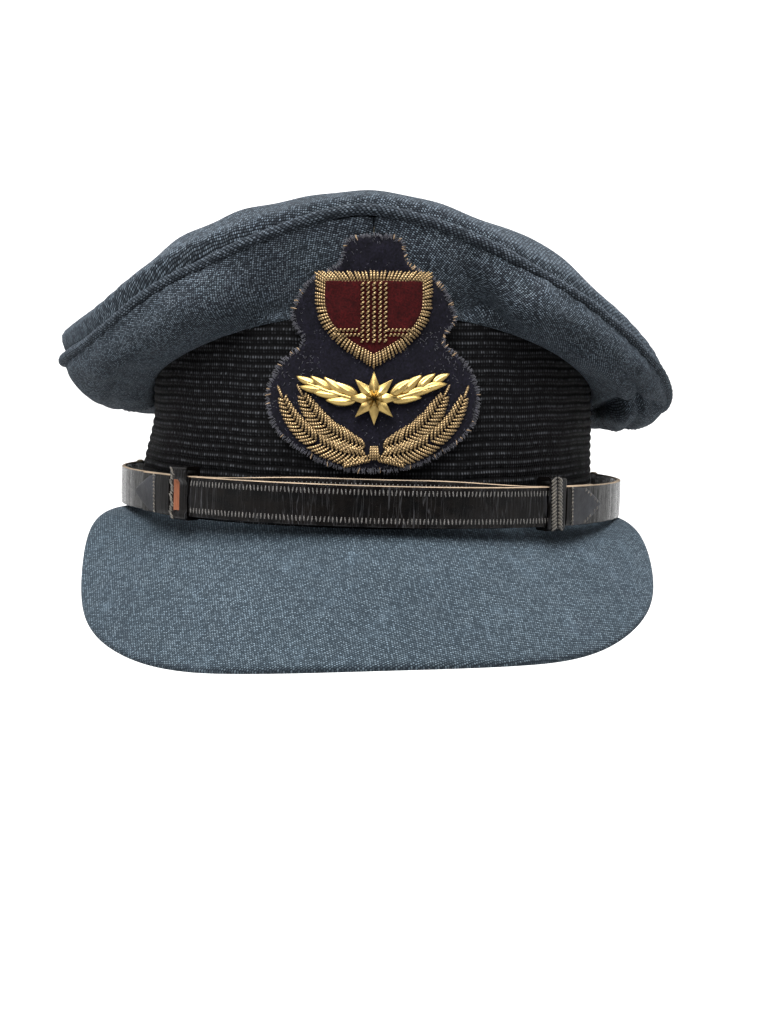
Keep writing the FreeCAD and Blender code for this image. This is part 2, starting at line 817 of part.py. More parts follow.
def ring_sector(radius_in, radius_out, start, end, height):
    """Flat arc band about (0, height), angles from straight down."""
    outer = [(radius_out * math.sin(a), height - radius_out * math.cos(a)) for a in steps(start, end, 14)]
    inner = [(radius_in * math.sin(a), height - radius_in * math.cos(a)) for a in steps(end, start, 14)]
    return outer + inner


def build_badge():
    patch = size("badge_patch_thickness")
    emblem = size("badge_emblem_thickness")
    star = size("badge_star_thickness")
    stand = 1.5
    top = stand + patch + 0.1
    patch_points = [
        (0.0, 94.5),
        (8.5, 93.0),
        (11.0, 86.0),
        (21.0, 80.0),
        (26.0, 70.0),
        (22.5, 62.0),
        (30.0, 55.0),
        (34.0, 45.0),
        (31.0, 34.0),
        (20.0, 25.5),
        (9.0, 21.5),
        (0.0, 20.8),
    ]
    layers = [
        ("badge_patch", mirrored(patch_points), stand, patch),
        ("badge_shield_velvet", shield_outline(16.0, 81.0, 57.0, 75.0), top, emblem),
        ("badge_wreath_left", ring_sector(22.5, 29.5, -1.45, -0.2, 52.5), top, emblem),
        ("badge_wreath_right", ring_sector(22.5, 29.5, 0.2, 1.45, 52.5), top, emblem),
        ("badge_tie", star_outline(4, 4.2, 2.6, 26.0), top, emblem + 0.6),
        ("badge_star", star_outline(8, 9.0, 5.5, 42.5), top + 0.2, star),
    ]
    for label, points, start, thick in layers:
        block = flat_outline(points, label == "badge_patch").extrude(Vector(0, -80.0, 0))
        feature(label, badge_slab(start, start + thick).common(block))
    rim = flat_outline(shield_outline(18.5, 83.5, 53.0, 75.0), False)
    hollow = flat_outline(shield_outline(16.2, 81.2, 56.8, 75.0), False)
    border = rim.cut(hollow).extrude(Vector(0, -80.0, 0))
    feature("badge_shield_border", badge_slab(top, top + emblem + 0.8).common(border))


# ---------------------------------------------------------------- build and write

build_crown()
build_front_supports()
build_band()
build_peak()
build_chin_strap()
for button_side in (-1, 1):
    build_button(button_side)
cut_shank_holes(["mohair_band", "band_stiffener"], size("eyelet_radius"))
for button_side in (-1, 1):
    build_eyelet(button_side)
build_badge()
doc.recompute()

for obj in doc.Objects:
    faults = [state for state in obj.State if state in ("Invalid", "Error")]
    if faults:
        raise RuntimeError(f"{obj.Label} is {faults}")
for obj in PARTS:
    if obj.Shape.isNull() or not obj.Shape.isValid() or not obj.Shape.Solids:
        raise RuntimeError(f"{obj.Label} has no valid solid")

os.makedirs("parts", exist_ok=True)
for obj in PARTS:
    obj.Shape.exportStep(os.path.join("parts", obj.Label + ".step"))
    print(f"{obj.Label:24s} solids {len(obj.Shape.Solids)}  volume {obj.Shape.Volume:10.1f} mm3")
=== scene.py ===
"""Military peaked cap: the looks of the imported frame. Lengths are in millimetres until a mesh is made."""

import math

import bmesh
import bpy
import numpy as np
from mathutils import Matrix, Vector


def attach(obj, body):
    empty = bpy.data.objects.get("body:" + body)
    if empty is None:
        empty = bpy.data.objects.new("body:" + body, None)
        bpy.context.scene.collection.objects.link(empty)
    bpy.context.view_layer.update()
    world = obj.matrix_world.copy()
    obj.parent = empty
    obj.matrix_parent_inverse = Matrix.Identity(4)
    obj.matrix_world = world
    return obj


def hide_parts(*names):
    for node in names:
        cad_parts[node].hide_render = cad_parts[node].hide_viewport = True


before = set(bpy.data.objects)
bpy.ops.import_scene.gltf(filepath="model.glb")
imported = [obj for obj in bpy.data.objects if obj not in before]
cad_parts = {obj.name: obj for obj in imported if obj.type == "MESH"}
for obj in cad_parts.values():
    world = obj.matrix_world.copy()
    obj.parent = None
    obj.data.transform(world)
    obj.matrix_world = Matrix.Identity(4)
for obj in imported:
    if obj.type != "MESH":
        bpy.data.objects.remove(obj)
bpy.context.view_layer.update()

MM = 0.001
TURN = 2 * math.pi

# ---------------------------------------------------------------- shape of the cap, as in part.py

BAND_HALF_WIDTH, BAND_HALF_LENGTH = 85.0, 104.0
CROWN_HALF_WIDTH, CROWN_FRONT, CROWN_BACK = 115.5, 110.5, 124.0
CROWN_MIDDLE = (CROWN_BACK - CROWN_FRONT) / 2
CROWN_HALF_LENGTH = (CROWN_BACK + CROWN_FRONT) / 2
CLOTH = 1.4
RIB_PITCH = 3.0
SEAM_HEIGHTS = np.array([102.4, 82.5, 57.5, 42.5, 46.0, 58.0, 66.0, 66.0, 62.0, 60.0, 63.5, 86.0])
QUARTER_STATIONS = np.array(
    [
        (0.0, 1.2, 10.0, 1.2, -12.0),
        (16.0, 3.0, 8.0, 2.5, -12.0),
        (32.0, 13.0, 2.0, 7.0, -12.0),
        (50.0, 14.0, -6.0, 4.0, -11.0),
        (90.0, 8.0, -18.0, -3.0, -9.0),
        (135.0, 9.0, -12.0, 0.0, -10.0),
        (180.0, 10.0, -6.0, 1.0, -11.0),
    ]
)
PEAK_EDGE = [
    (87.0, -14.0, 3.4),
    (92.5, -36.0, 3.2),
    (96.5, -54.0, -1.5),
    (97.5, -70.0, -14.0),
    (93.5, -86.0, -27.0),
    (80.0, -102.0, -36.0),
    (45.0, -127.0, -38.5),
    (0.0, -138.5, -37.0),
]
PEAK_ROOT = math.radians(78.0)
LINING_HALF_WIDTH, LINING_HALF_LENGTH = 55.2, 69.2
LINING_TOP, LINING_RISE = 66.9, 5.0
STRAP_BACK = 17.2
STRAP_PITCH, STRAP_ROLL = math.radians(1.38), math.radians(1.68)
STRAP_WIDTH = 13.3
KEEPER_START = {"left": 40.3, "right": 37.8}
KEEPER_SEAM = {"left": 49.9, "right": 44.6}
KEEPER_LOOP, KEEPER_TAB = 4.8, 13.4
THREAD_RADIUS = 95.14
TICKED = math.radians(40.0)
STRAP_HEIGHT = 3.3 + 91.8 * math.sin(STRAP_PITCH)


def xyz(x, y, z):
    return np.stack(np.broadcast_arrays(x, y, z), -1).astype(float)


def smooth(amount):
    amount = np.clip(amount, 0.0, 1.0)
    return amount * amount * (3.0 - 2.0 * amount)


def hump(value, centre, width):
    """Gaussian bump of height 1."""
    return np.exp(-(((value - centre) / width) ** 2))


def seam_height(angle):
    place = (np.degrees(angle) / 30.0) % 12
    index = np.floor(place).astype(int)
    part = place - index
    before, start, end, after = [SEAM_HEIGHTS[(index + k) % 12] for k in (-1, 0, 1, 2)]
    bend = 2 * before - 5 * start + 4 * end - after
    twist = 3 * (start - end) + after - before
    return 0.5 * (2 * start + (end - before) * part + bend * part**2 + twist * part**3)


def seam_point(angle):
    return xyz(
        CROWN_HALF_WIDTH * np.sin(angle),
        CROWN_MIDDLE - CROWN_HALF_LENGTH * np.cos(angle),
        seam_height(angle),
    )


def rim_height(angle):
    side = np.sin(angle) ** 2
    return np.where(np.cos(angle) >= 0, 4.0 * side, 2.0 + 2.0 * side) - 1.7 * np.sin(angle)


def even_out(angle):
    """Level direction away from the middle of the head."""
    return xyz(np.sin(angle), -np.cos(angle), 0.0 * angle)


def side_lean(angle):
    """How far the worn band leans inwards at its top on the left."""
    degrees = (np.degrees(angle) + 180.0) % 360.0 - 180.0
    return 4.3 * smooth((-degrees - 55.0) / 25.0) * smooth((125.0 + degrees) / 25.0)


def band_top(angle):
    return 44.0 + 27.0 * np.maximum(np.cos(angle), 0.0) ** 1.5


def band_point(angle, inset, height):
    return xyz(
        (BAND_HALF_WIDTH - inset) * np.sin(angle), -(BAND_HALF_LENGTH - inset) * np.cos(angle), height
    )


def quarter_shape(angle):
    turn = np.abs((np.degrees(angle) + 180.0) % 360.0 - 180.0)
    index = np.clip(np.searchsorted(QUARTER_STATIONS[:, 0], turn, side="left") - 1, 0, 5)
    low, high = QUARTER_STATIONS[index], QUARTER_STATIONS[index + 1]
    part = smooth((turn - low[..., 0]) / (high[..., 0] - low[..., 0]))
    return [low[..., k] + (high[..., k] - low[..., k]) * part for k in (1, 2, 3, 4)]


def quarter_surface(angle, travel):
    """Outer face of the quarters: travel 0 is the band's top edge, 1 the crown seam."""
    start = band_point(angle, -0.6, band_top(angle) + 0.6)
    end = seam_point(angle)
    low_out, low_rise, high_out, high_rise = quarter_shape(angle)
    low = start + xyz(np.sin(angle) * low_out, -np.cos(angle) * low_out, low_rise)
    high = end + xyz(np.sin(angle) * high_out, -np.cos(angle) * high_out, high_rise)
    t = travel[..., None]
    rest = 1.0 - t
    return start * rest**3 + low * 3 * rest**2 * t + high * 3 * rest * t**2 + end * t**3


def crown_surface(across, along):
    """Upper face of the crown over a unit disc: across is +X, along is towards the back."""
    reach = np.hypot(across, along)
    angle = np.arctan2(across, -along)
    edge = seam_point(angle)
    weight = reach**2.2
    height = (edge[..., 2] + 0.6) * weight + 106.0 * (1 - weight) + 7.5 * (1 - reach**8)
    return xyz(edge[..., 0] * reach, CROWN_MIDDLE + (edge[..., 1] - CROWN_MIDDLE) * reach, height)


def front_surface(x, z, standoff=0.0):
    """Face of the band and of the flattened front of the crown, which the badge lies on."""
    curve = np.sqrt(1 - (x / BAND_HALF_WIDTH) ** 2)
    lean = 0.5 * (z - 62.0 + np.hypot(z - 62.0, 6.0)) * 0.17
    return xyz(x, -BAND_HALF_LENGTH * curve - 0.4 - lean - standoff, z)


def strap_point(radius, angle, height):
    """A point on the chin strap's own cylinder: angle from the front, towards +X."""
    x, y, z = radius * np.sin(angle), -radius * np.cos(angle), height
    return strap_place(x, y, z)


def strap_place(x, y, z):
    y, z = (
        y * math.cos(STRAP_PITCH) - z * math.sin(STRAP_PITCH),
        y * math.sin(STRAP_PITCH) + z * math.cos(STRAP_PITCH),
    )
    x, z = (
        x * math.cos(STRAP_ROLL) + z * math.sin(STRAP_ROLL),
        z * math.cos(STRAP_ROLL) - x * math.sin(STRAP_ROLL),
    )
    return xyz(x, y - STRAP_BACK, z + STRAP_HEIGHT)


# ---------------------------------------------------------------- mesh helpers


def wander(points, scale, seed, waves=9):
    """A smooth value that wanders around 0 with about this wavelength, the same on every run."""
    rng = np.random.default_rng(seed)
    total = np.zeros(points.shape[:-1])
    for _ in range(waves):
        direction = rng.normal(size=3)
        direction *= TURN / (scale * np.linalg.norm(direction)) * rng.uniform(0.6, 1.5)
        total += np.sin(points @ direction + rng.uniform(0, TURN))
    return total / math.sqrt(waves)


def normals(points):
    """Unit normals of a grid of points, from its own neighbours."""
    along_u = np.gradient(points, axis=0)
    along_v = np.gradient(points, axis=1)
    normal = np.cross(along_u, along_v)
    return normal / np.maximum(np.linalg.norm(normal, axis=-1, keepdims=True), 1e-9)


def facing_out(points, cell, centre=(0.0, 0.0, 0.0)):
    """Unit normals of a grid, turned to face away from centre, as seen at one cell."""
    out = normals(points)
    return -out if out[cell] @ (points[cell] - np.array(centre)) < 0 else out


def along_rows(grid, index):
    """The grid read at fractional column numbers, which each row has its own of."""
    low = np.clip(np.floor(index).astype(int), 0, grid.shape[1] - 2)
    part = (index - low)[..., None]
    rows = np.arange(len(grid))[:, None]
    return grid[rows, low] * (1 - part) + grid[rows, low + 1] * part


def unit_disc(count):
    """A square grid of points bent into a disc of radius 1, with each point's distance out."""
    grid = np.linspace(-1, 1, count)
    u, v = np.meshgrid(grid, grid, indexing="ij")
    across, along = u * np.sqrt(1 - v * v / 2), v * np.sqrt(1 - u * u / 2)
    return across, along, np.hypot(across, along)


def make_object(name, vertices, faces, uvs, materials, indices=None, sharp=40.0):
    mesh = bpy.data.meshes.new(name)
    mesh.from_pydata((np.asarray(vertices) * MM).tolist(), [], faces)
    layer = mesh.uv_layers.new(name="UVMap")
    layer.data.foreach_set("uv", np.asarray(uvs, dtype=np.float32).ravel())
    mesh.polygons.foreach_set("use_smooth", np.ones(len(mesh.polygons), dtype=bool))
    for material in materials:
        mesh.materials.append(material)
    if indices is not None:
        mesh.polygons.foreach_set("material_index", np.asarray(indices, dtype=np.int32))
    work = bmesh.new()
    work.from_mesh(mesh)
    if work.calc_volume(signed=True) < 0:
        mesh.flip_normals()
    work.free()
    mesh.set_sharp_from_angle(angle=math.radians(sharp))
    mesh.validate()
    obj = bpy.data.objects.new(name, mesh)
    bpy.context.scene.collection.objects.link(obj)
    return obj


def shell(name, outer, inner, uv, materials, round_u=False, paint=None, sharp=40.0):
    """A closed thin piece between two grids of points. uv is in millimetres, one more column than
    the grid when the grid closes on itself. paint(i, j) gives a cell's material index."""
    nu, nv = outer.shape[:2]
    cells_u = nu if round_u else nu - 1
    vertices = np.concatenate([outer.reshape(-1, 3), inner.reshape(-1, 3)])
    i, j = np.meshgrid(np.arange(cells_u), np.arange(nv - 1), indexing="ij")
    i, j = i.ravel(), j.ravel()
    after = (i + 1) % nu
    quad = np.stack([i * nv + j, after * nv + j, after * nv + j + 1, i * nv + j + 1], -1)
    corner_uv = np.stack([uv[i, j], uv[i + 1, j], uv[i + 1, j + 1], uv[i, j + 1]], 1)
    faces = [quad, quad[:, ::-1] + nu * nv]
    uvs = [corner_uv, corner_uv[:, ::-1]]
    painted = paint(i, j) if paint else np.zeros(len(i), dtype=int)
    indices = [painted, painted]
    edges = [(i[j == 0], 0), (i[j == nv - 2], nv - 1)]
    for cells, column in edges:
        nxt = (cells + 1) % nu
        a, b = cells * nv + column, nxt * nv + column
        rim = np.stack([a, a + nu * nv, b + nu * nv, b], -1)
        near, far = uv[cells, column], uv[cells + 1, column]
        rim_uv = np.stack([near, near, far, far], 1)
        rim_uv[:, 1:3, 1] += 1.0
        if column:
            rim, rim_uv = rim[:, ::-1], rim_uv[:, ::-1]
        faces.append(rim)
        uvs.append(rim_uv)
        indices.append(painted[(j == (0 if column == 0 else nv - 2))])
    if not round_u:
        for row in (0, nu - 1):
            cells = np.arange(nv - 1)
            a, b = row * nv + cells, row * nv + cells + 1
            rim = np.stack([a, b, b + nu * nv, a + nu * nv], -1)
            near, far = uv[row, cells], uv[row, cells + 1]
            rim_uv = np.stack([near, far, far, near], 1)
            rim_uv[:, 2:4, 0] += 1.0
            if row:
                rim, rim_uv = rim[:, ::-1], rim_uv[:, ::-1]
            faces.append(rim)
            uvs.append(rim_uv)
            indices.append(painted[i == (0 if row == 0 else cells_u - 1)])
    faces = np.concatenate(faces).tolist()
    uvs = np.concatenate(uvs) * MM
    return make_object(name, vertices, faces, uvs, materials, np.concatenate(indices), sharp)


def length_uv(points, round_u=False):
    """Millimetre coordinates along and across a grid, from the mean lengths of its rows and columns."""
    step_u = np.linalg.norm(np.diff(points, axis=0), axis=-1).mean(axis=1)
    if round_u:
        step_u = np.append(step_u, step_u.mean())
    step_v = np.linalg.norm(np.diff(points, axis=1), axis=-1).mean(axis=0)
    u = np.concatenate([[0], np.cumsum(step_u)])
    v = np.concatenate([[0], np.cumsum(step_v)])
    return np.stack(np.meshgrid(u, v, indexing="ij"), -1)


class Bundle:
    """Many small tubes gathered into one piece: bullion strands, stitches, loose threads."""

    def __init__(self):
        self.vertices, self.faces, self.uvs, self.indices = [], [], [], []

    def tube(self, path, radius, sides=6, flat=1.0, out=(0.0, -1.0, 0.0), taper=0.55, index=0):
        """A capped tube along path. flat squashes it towards the surface, whose outside is out."""
        path = np.asarray(path, dtype=float)
        along = np.gradient(path, axis=0)
        along /= np.maximum(np.linalg.norm(along, axis=1, keepdims=True), 1e-9)
        out = np.broadcast_to(np.asarray(out, dtype=float), path.shape)
        side = np.cross(along, out)
        side /= np.maximum(np.linalg.norm(side, axis=1, keepdims=True), 1e-9)
        up = np.cross(side, along)
        radii = np.full(len(path), radius)
        radii[0] *= taper
        radii[-1] *= taper
        turn = np.linspace(0, TURN, sides, endpoint=False)
        ring = (
            side[:, None] * np.cos(turn)[None, :, None] + up[:, None] * np.sin(turn)[None, :, None] * flat
        )
        points = path[:, None] + ring * radii[:, None, None]
        base = sum(len(v) for v in self.vertices)
        distance = np.concatenate([[0], np.cumsum(np.linalg.norm(np.diff(path, axis=0), axis=1))])
        self.vertices.append(points.reshape(-1, 3))
        for k in range(len(path) - 1):
            for s in range(sides):
                t = (s + 1) % sides
                a, b = base + k * sides, base + (k + 1) * sides
                self.faces.append([a + s, a + t, b + t, b + s])
                self.uvs += [
                    (distance[k], s / sides),
                    (distance[k], (s + 1) / sides),
                    (distance[k + 1], (s + 1) / sides),
                    (distance[k + 1], s / sides),
                ]
                self.indices.append(index)
        for start, order in ((0, -1), (len(path) - 1, 1)):
            self.faces.append([base + start * sides + s for s in range(sides)][::order])
            self.uvs += [(distance[start], 0.5)] * sides
            self.indices.append(index)

    def build(self, name, *materials):
        return make_object(
            name,
            np.concatenate(self.vertices),
            self.faces,
            np.asarray(self.uvs),
            materials,
            self.indices,
            60.0,
        )


# ---------------------------------------------------------------- materials


class Shader:
    """A Principled material whose nodes are added by short calls."""

    def __init__(self, name, roughness=0.6, metallic=0.0, **sockets):
        self.material = bpy.data.materials.new(name)
        self.material.use_nodes = True
        self.tree = self.material.node_tree
        self.bsdf = self.tree.nodes["Principled BSDF"]
        self.bsdf.inputs["Roughness"].default_value = roughness
        self.bsdf.inputs["Metallic"].default_value = metallic
        for key, value in sockets.items():
            self.bsdf.inputs[key.replace("_", " ")].default_value = value

    def node(self, kind, values=(), **props):
        node = self.tree.nodes.new(kind)
        for key, value in props.items():
            setattr(node, key, value)
        for key, value in dict(values).items():
            self.put(node.inputs[key], value)
        return node

    def put(self, socket, value):
        if isinstance(value, bpy.types.NodeSocket):
            self.tree.links.new(value, socket)
        elif isinstance(value, tuple) and socket.type == "RGBA" and len(value) == 3:
            socket.default_value = (*value, 1.0)
        else:
            socket.default_value = value

    def math(self, operation, a, b=0.0, clamp=False):
        return self.node("ShaderNodeMath", {0: a, 1: b}, operation=operation, use_clamp=clamp).outputs[0]

    def mix(self, factor, a, b):
        node = self.node("ShaderNodeMix", data_type="RGBA")
        self.put(node.inputs[0], factor)
        self.put(node.inputs[6], a)
        self.put(node.inputs[7], b)
        return node.outputs[2]

    def uv(self):
        return self.node("ShaderNodeTexCoord").outputs["UV"]

    def place(self):
        return self.node("ShaderNodeTexCoord").outputs["Object"]

    def mapped(self, vector, scale, turn=0.0):
        values = {"Vector": vector, "Scale": scale, "Rotation": (0.0, 0.0, math.radians(turn))}
        return self.node("ShaderNodeMapping", values).outputs[0]

    def noise(self, vector, scale, detail=3.0, roughness=0.5):
        values = {"Vector": vector, "Scale": scale, "Detail": detail, "Roughness": roughness}
        return self.node("ShaderNodeTexNoise", values).outputs[0]

    def remap(self, value, low, high, to_low=0.0, to_high=1.0):
        values = {0: value, 1: low, 2: high, 3: to_low, 4: to_high}
        return self.node("ShaderNodeMapRange", values).outputs[0]

    def separate(self, vector):
        node = self.node("ShaderNodeSeparateXYZ", {0: vector})
        return node.outputs[0], node.outputs[1]

    def wave(self, value, period):
        """0..1 along a coordinate in metres, with this period in millimetres."""
        turned = self.math("SINE", self.math("MULTIPLY", value, TURN / (period * MM)))
        return self.remap(turned, -1.0, 1.0)

    def bump(self, height, strength, distance):
        values = {"Height": height, "Strength": strength, "Distance": distance * MM}
        previous = self.bsdf.inputs["Normal"].links
        if previous:
            values["Normal"] = previous[0].from_socket
        self.put(self.bsdf.inputs["Normal"], self.node("ShaderNodeBump", values).outputs[0])

    def colour(self, value):
        self.put(self.bsdf.inputs["Base Color"], value)

    def rough(self, value):
        self.put(self.bsdf.inputs["Roughness"], value)


def cloth_material(name, pitch, turn, dark, light, speckle, worn=0.0):
    """Woollen twill: one raised thread in each cell, each with its own shade, over dark gaps."""
    s = Shader(name, 0.92, Sheen_Weight=0.08, Sheen_Roughness=0.5, Specular_IOR_Level=0.1)
    s.bsdf.inputs["Sheen Tint"].default_value = (0.55, 0.68, 0.85, 1.0)
    vector = s.uv()
    drift = s.noise(vector, 190.0, 2.0)
    noise_vector = s.node("ShaderNodeTexNoise", {"Vector": vector, "Scale": 260.0}).outputs[1]
    small = s.node("ShaderNodeVectorMath", {0: noise_vector}, operation="SCALE")
    small.inputs[3].default_value = 0.5 * MM
    bent = s.node("ShaderNodeVectorMath", {0: vector, 1: small.outputs[0]}, operation="ADD").outputs[0]
    cells = s.mapped(bent, (1 / (pitch * MM), 1 / (pitch * 0.62 * MM), 1.0), turn)
    cell_u, cell_v = s.separate(cells)
    row = s.math("FLOOR", cell_v)
    shifted = s.math("ADD", cell_u, s.math("MULTIPLY", row, 0.5))
    whole = s.node("ShaderNodeCombineXYZ", {0: s.math("FLOOR", shifted), 1: row}).outputs[0]
    shade = s.node("ShaderNodeTexWhiteNoise", {"Vector": whole}, noise_dimensions="2D").outputs[0]
    part_u = s.math("SINE", s.math("MULTIPLY", s.math("FRACT", shifted), math.pi))
    part_v = s.math("SINE", s.math("MULTIPLY", s.math("FRACT", cell_v), math.pi))
    dot = s.math("MULTIPLY", part_u, part_v)
    lifted = s.remap(dot, 0.25, 0.85)
    spread = s.remap(s.math("POWER", shade, 1.5), 0.0, 1.0, 1.0 - speckle, 1.0)
    fibres = s.remap(s.noise(vector, 2600.0, 2.0), 0.3, 0.7, 0.75, 1.2)
    broad = s.remap(s.noise(s.place(), 22.0, 3.0), 0.3, 0.7, 0.8, 1.15)
    strength = s.math("MULTIPLY", s.math("MULTIPLY", lifted, spread), s.math("MULTIPLY", fibres, broad))
    tint = s.mix(drift, light, tuple(c * f for c, f in zip(light, (1.12, 1.0, 0.9))))
    colour = s.mix(s.math("MINIMUM", strength, 1.0), dark, tint)
    if worn:
        rubbed = s.remap(s.noise(s.place(), 70.0, 5.0, 0.7), 0.56, 0.78, 0.0, worn)
        colour = s.mix(rubbed, colour, tuple(min(c * 2.3, 1.0) for c in light))
    s.colour(colour)
    s.bump(dot, 0.7, 0.22)
    s.bump(s.noise(vector, 1400.0, 3.0), 0.25, 0.15)
    return s.material


def leather_material(name, base, edge, roughness, coat, grain=900.0, crackle=0.3, gloss=0.4):
    s = Shader(name, roughness, Coat_Weight=coat, Coat_Roughness=0.08, Specular_IOR_Level=gloss)
    place = s.place()
    broad = s.noise(place, 45.0, 4.0, 0.6)
    s.colour(s.mix(s.remap(broad, 0.35, 0.7), base, edge))
    s.rough(s.remap(s.noise(place, 160.0, 3.0), 0.3, 0.7, roughness * 0.75, min(roughness * 1.35, 1.0)))
    pores = s.node("ShaderNodeTexVoronoi", {"Vector": place, "Scale": grain}, feature="DISTANCE_TO_EDGE")
    s.bump(s.remap(pores.outputs[0], 0.0, 0.12), crackle, 0.08)
    s.bump(s.noise(place, 240.0, 4.0), 0.2, 0.3)
    return s.material


def patent_material():
    """Black lacquered leather: fine wrinkles across the strap under a glossy coat, and thin crease lines
    painted lighter as highlights.
    """
    coat = {"Coat_Weight": 0.6, "Coat_IOR": 1.36, "Coat_Roughness": 0.06}
    s = Shader("patent_leather_black", 0.3, Specular_IOR_Level=0.04, **coat)
    vector = s.uv()
    mottled = s.remap(s.noise(s.mapped(vector, (60.0, 90.0, 1.0)), 3.0, 4.0), 0.35, 0.7)
    black = s.mix(mottled, (0.0006, 0.0006, 0.0007), (0.0028, 0.0021, 0.0018))
    wrinkle = s.noise(s.mapped(vector, (900.0, 55.0, 1.0), 6.0), 1.0, 3.0, 0.6)
    deep = s.noise(s.mapped(vector, (330.0, 30.0, 1.0), -14.0), 1.0, 2.0, 0.5)
    lines = s.noise(s.mapped(vector, (640.0, 42.0, 1.0), 9.0), 1.0, 2.0)
    apart = s.math("ABSOLUTE", s.math("SUBTRACT", lines, 0.5))
    patches = s.remap(s.noise(s.mapped(vector, (55.0, 30.0, 1.0)), 1.0, 2.0), 0.42, 0.6)
    # Painted highlight: thin crease lines, in patches, are painted lighter grey to stand for the glints they
    # catch; the same mask also bumps them.
    glinting_creases = s.math("MULTIPLY", s.remap(apart, 0.0, 0.022, 1.0, 0.0), patches)
    s.colour(s.mix(glinting_creases, black, (0.026, 0.026, 0.028)))
    s.bump(glinting_creases, 0.5, 0.1)
    s.bump(s.remap(wrinkle, 0.44, 0.58), 0.34, 0.12)
    s.bump(s.remap(deep, 0.35, 0.6), 0.3, 0.16)
    s.rough(s.remap(s.noise(vector, 420.0, 3.0), 0.3, 0.7, 0.3, 0.5))
    s.put(s.bsdf.inputs["Coat Normal"], s.bsdf.inputs["Normal"].links[0].from_socket)
    return s.material


def fibre_material(name, dark, light, scale=420.0, sheen=0.6):
    """Felt, velvet or board: a soft pile of random fibres."""
    s = Shader(name, 0.95, Sheen_Weight=sheen, Sheen_Roughness=0.35, Specular_IOR_Level=0.1)
    place = s.place()
    fluff = s.noise(place, scale * 3.0, 4.0, 0.7)
    clump = s.noise(place, scale * 0.5, 3.0)
    mixed = s.math("MULTIPLY", s.remap(fluff, 0.35, 0.75), s.remap(clump, 0.25, 0.75, 0.35, 1.0))
    s.colour(s.mix(mixed, dark, light))
    s.bump(fluff, 0.6, 0.25)
    s.bump(clump, 0.4, 0.4)
    return s.material


def bullion_material(name, dark, bright, period=0.62, twist=1.0):
    """Wound metal wire: bright and dark turns along a strand."""
    s = Shader(name, 0.36, 0.85, Specular_IOR_Level=0.5)
    along, round_it = s.separate(s.uv())
    turns = s.math("ADD", s.math("MULTIPLY", along, 1 / period), s.math("MULTIPLY", round_it, twist))
    ridge = s.math("ABSOLUTE", s.math("SINE", s.math("MULTIPLY", turns, math.pi)))
    place = s.place()
    tarnish = s.remap(s.noise(place, 330.0, 3.0, 0.6), 0.35, 0.7)
    aged = s.mix(tarnish, bright, tuple(c * 0.5 for c in bright))
    s.colour(s.mix(s.remap(ridge, 0.25, 0.75), dark, aged))
    s.rough(s.remap(tarnish, 0.0, 1.0, 0.28, 0.6))
    s.bump(ridge, 0.8, 0.2)
    return s.material


def metal_material(name, base, dull, roughness, scale=120.0, scratch=0.15):
    s = Shader(name, roughness, 1.0)
    place = s.place()
    worn = s.remap(s.noise(place, scale, 5.0, 0.65), 0.4, 0.7)
    s.colour(s.mix(worn, base, dull))
    s.rough(s.remap(s.noise(place, scale * 3.0, 4.0), 0.3, 0.7, roughness * 0.7, roughness * 1.5))
    s.bump(s.noise(place, scale * 8.0, 4.0), scratch, 0.05)
    return s.material


def ribbing_material():
    """Black mohair braid: fine cross threads over the ribs, with a faint silky sheen painted as lighter colour
    on the rib crests.
    """
    s = Shader("mohair_black", 0.8, Specular_IOR_Level=0.06)
    vector = s.uv()
    along, up = s.separate(vector)
    threads = s.wave(s.math("ADD", along, s.math("MULTIPLY", s.noise(vector, 300.0), 0.6 * MM)), 1.05)
    rows = s.wave(up, 1.5)
    scaled = s.mapped(vector, (950.0, 667.0, 1.0))
    cell = s.node("ShaderNodeVectorMath", {0: scaled}, operation="FLOOR").outputs[0]
    shade = s.node("ShaderNodeTexWhiteNoise", {"Vector": cell}, noise_dimensions="2D").outputs[0]
    uneven = s.remap(s.math("POWER", shade, 1.8), 0.0, 1.0, 0.1, 1.0)
    dot = s.math("MULTIPLY", s.math("MULTIPLY", threads, rows), uneven)
    # Painted highlight and shade: the colour is lighter on the rib crests and darker in the valleys between
    # the ribs.
    crest = s.math("ABSOLUTE", s.math("SINE", s.math("MULTIPLY", up, math.pi / (RIB_PITCH * MM))))
    lit = s.math("MULTIPLY", dot, s.remap(crest, 0.25, 0.9))
    s.colour(s.mix(lit, (0.0008, 0.0008, 0.001), (0.058, 0.061, 0.068)))
    s.bump(threads, 0.5, 0.25)
    s.bump(s.noise(vector, 1500.0, 3.0), 0.3, 0.15)
    return s.material


def satin_material(name, dark, light):
    s = Shader(name, 0.42, Sheen_Weight=0.3, Specular_IOR_Level=0.5)
    vector = s.uv()
    along, up = s.separate(vector)
    threads = s.wave(s.math("ADD", along, up), 0.5)
    broad = s.remap(s.noise(s.place(), 30.0, 3.0), 0.3, 0.7)
    s.colour(s.mix(s.math("MULTIPLY", threads, broad), dark, light))
    s.bump(threads, 0.2, 0.1)
    s.bump(s.noise(s.place(), 60.0, 3.0), 0.3, 0.8)
    return s.material


def film_material():
    s = Shader("shield_film_clear", 0.18, Specular_IOR_Level=0.5, Alpha=0.45, Coat_Weight=0.5)
    place = s.place()
    s.colour(s.mix(s.remap(s.noise(place, 50.0, 4.0), 0.35, 0.7), (0.55, 0.47, 0.26), (0.72, 0.66, 0.44)))
    s.rough(s.remap(s.noise(place, 140.0, 4.0), 0.3, 0.7, 0.1, 0.4))
    s.bump(s.noise(place, 90.0, 4.0), 0.25, 0.5)
    return s.material


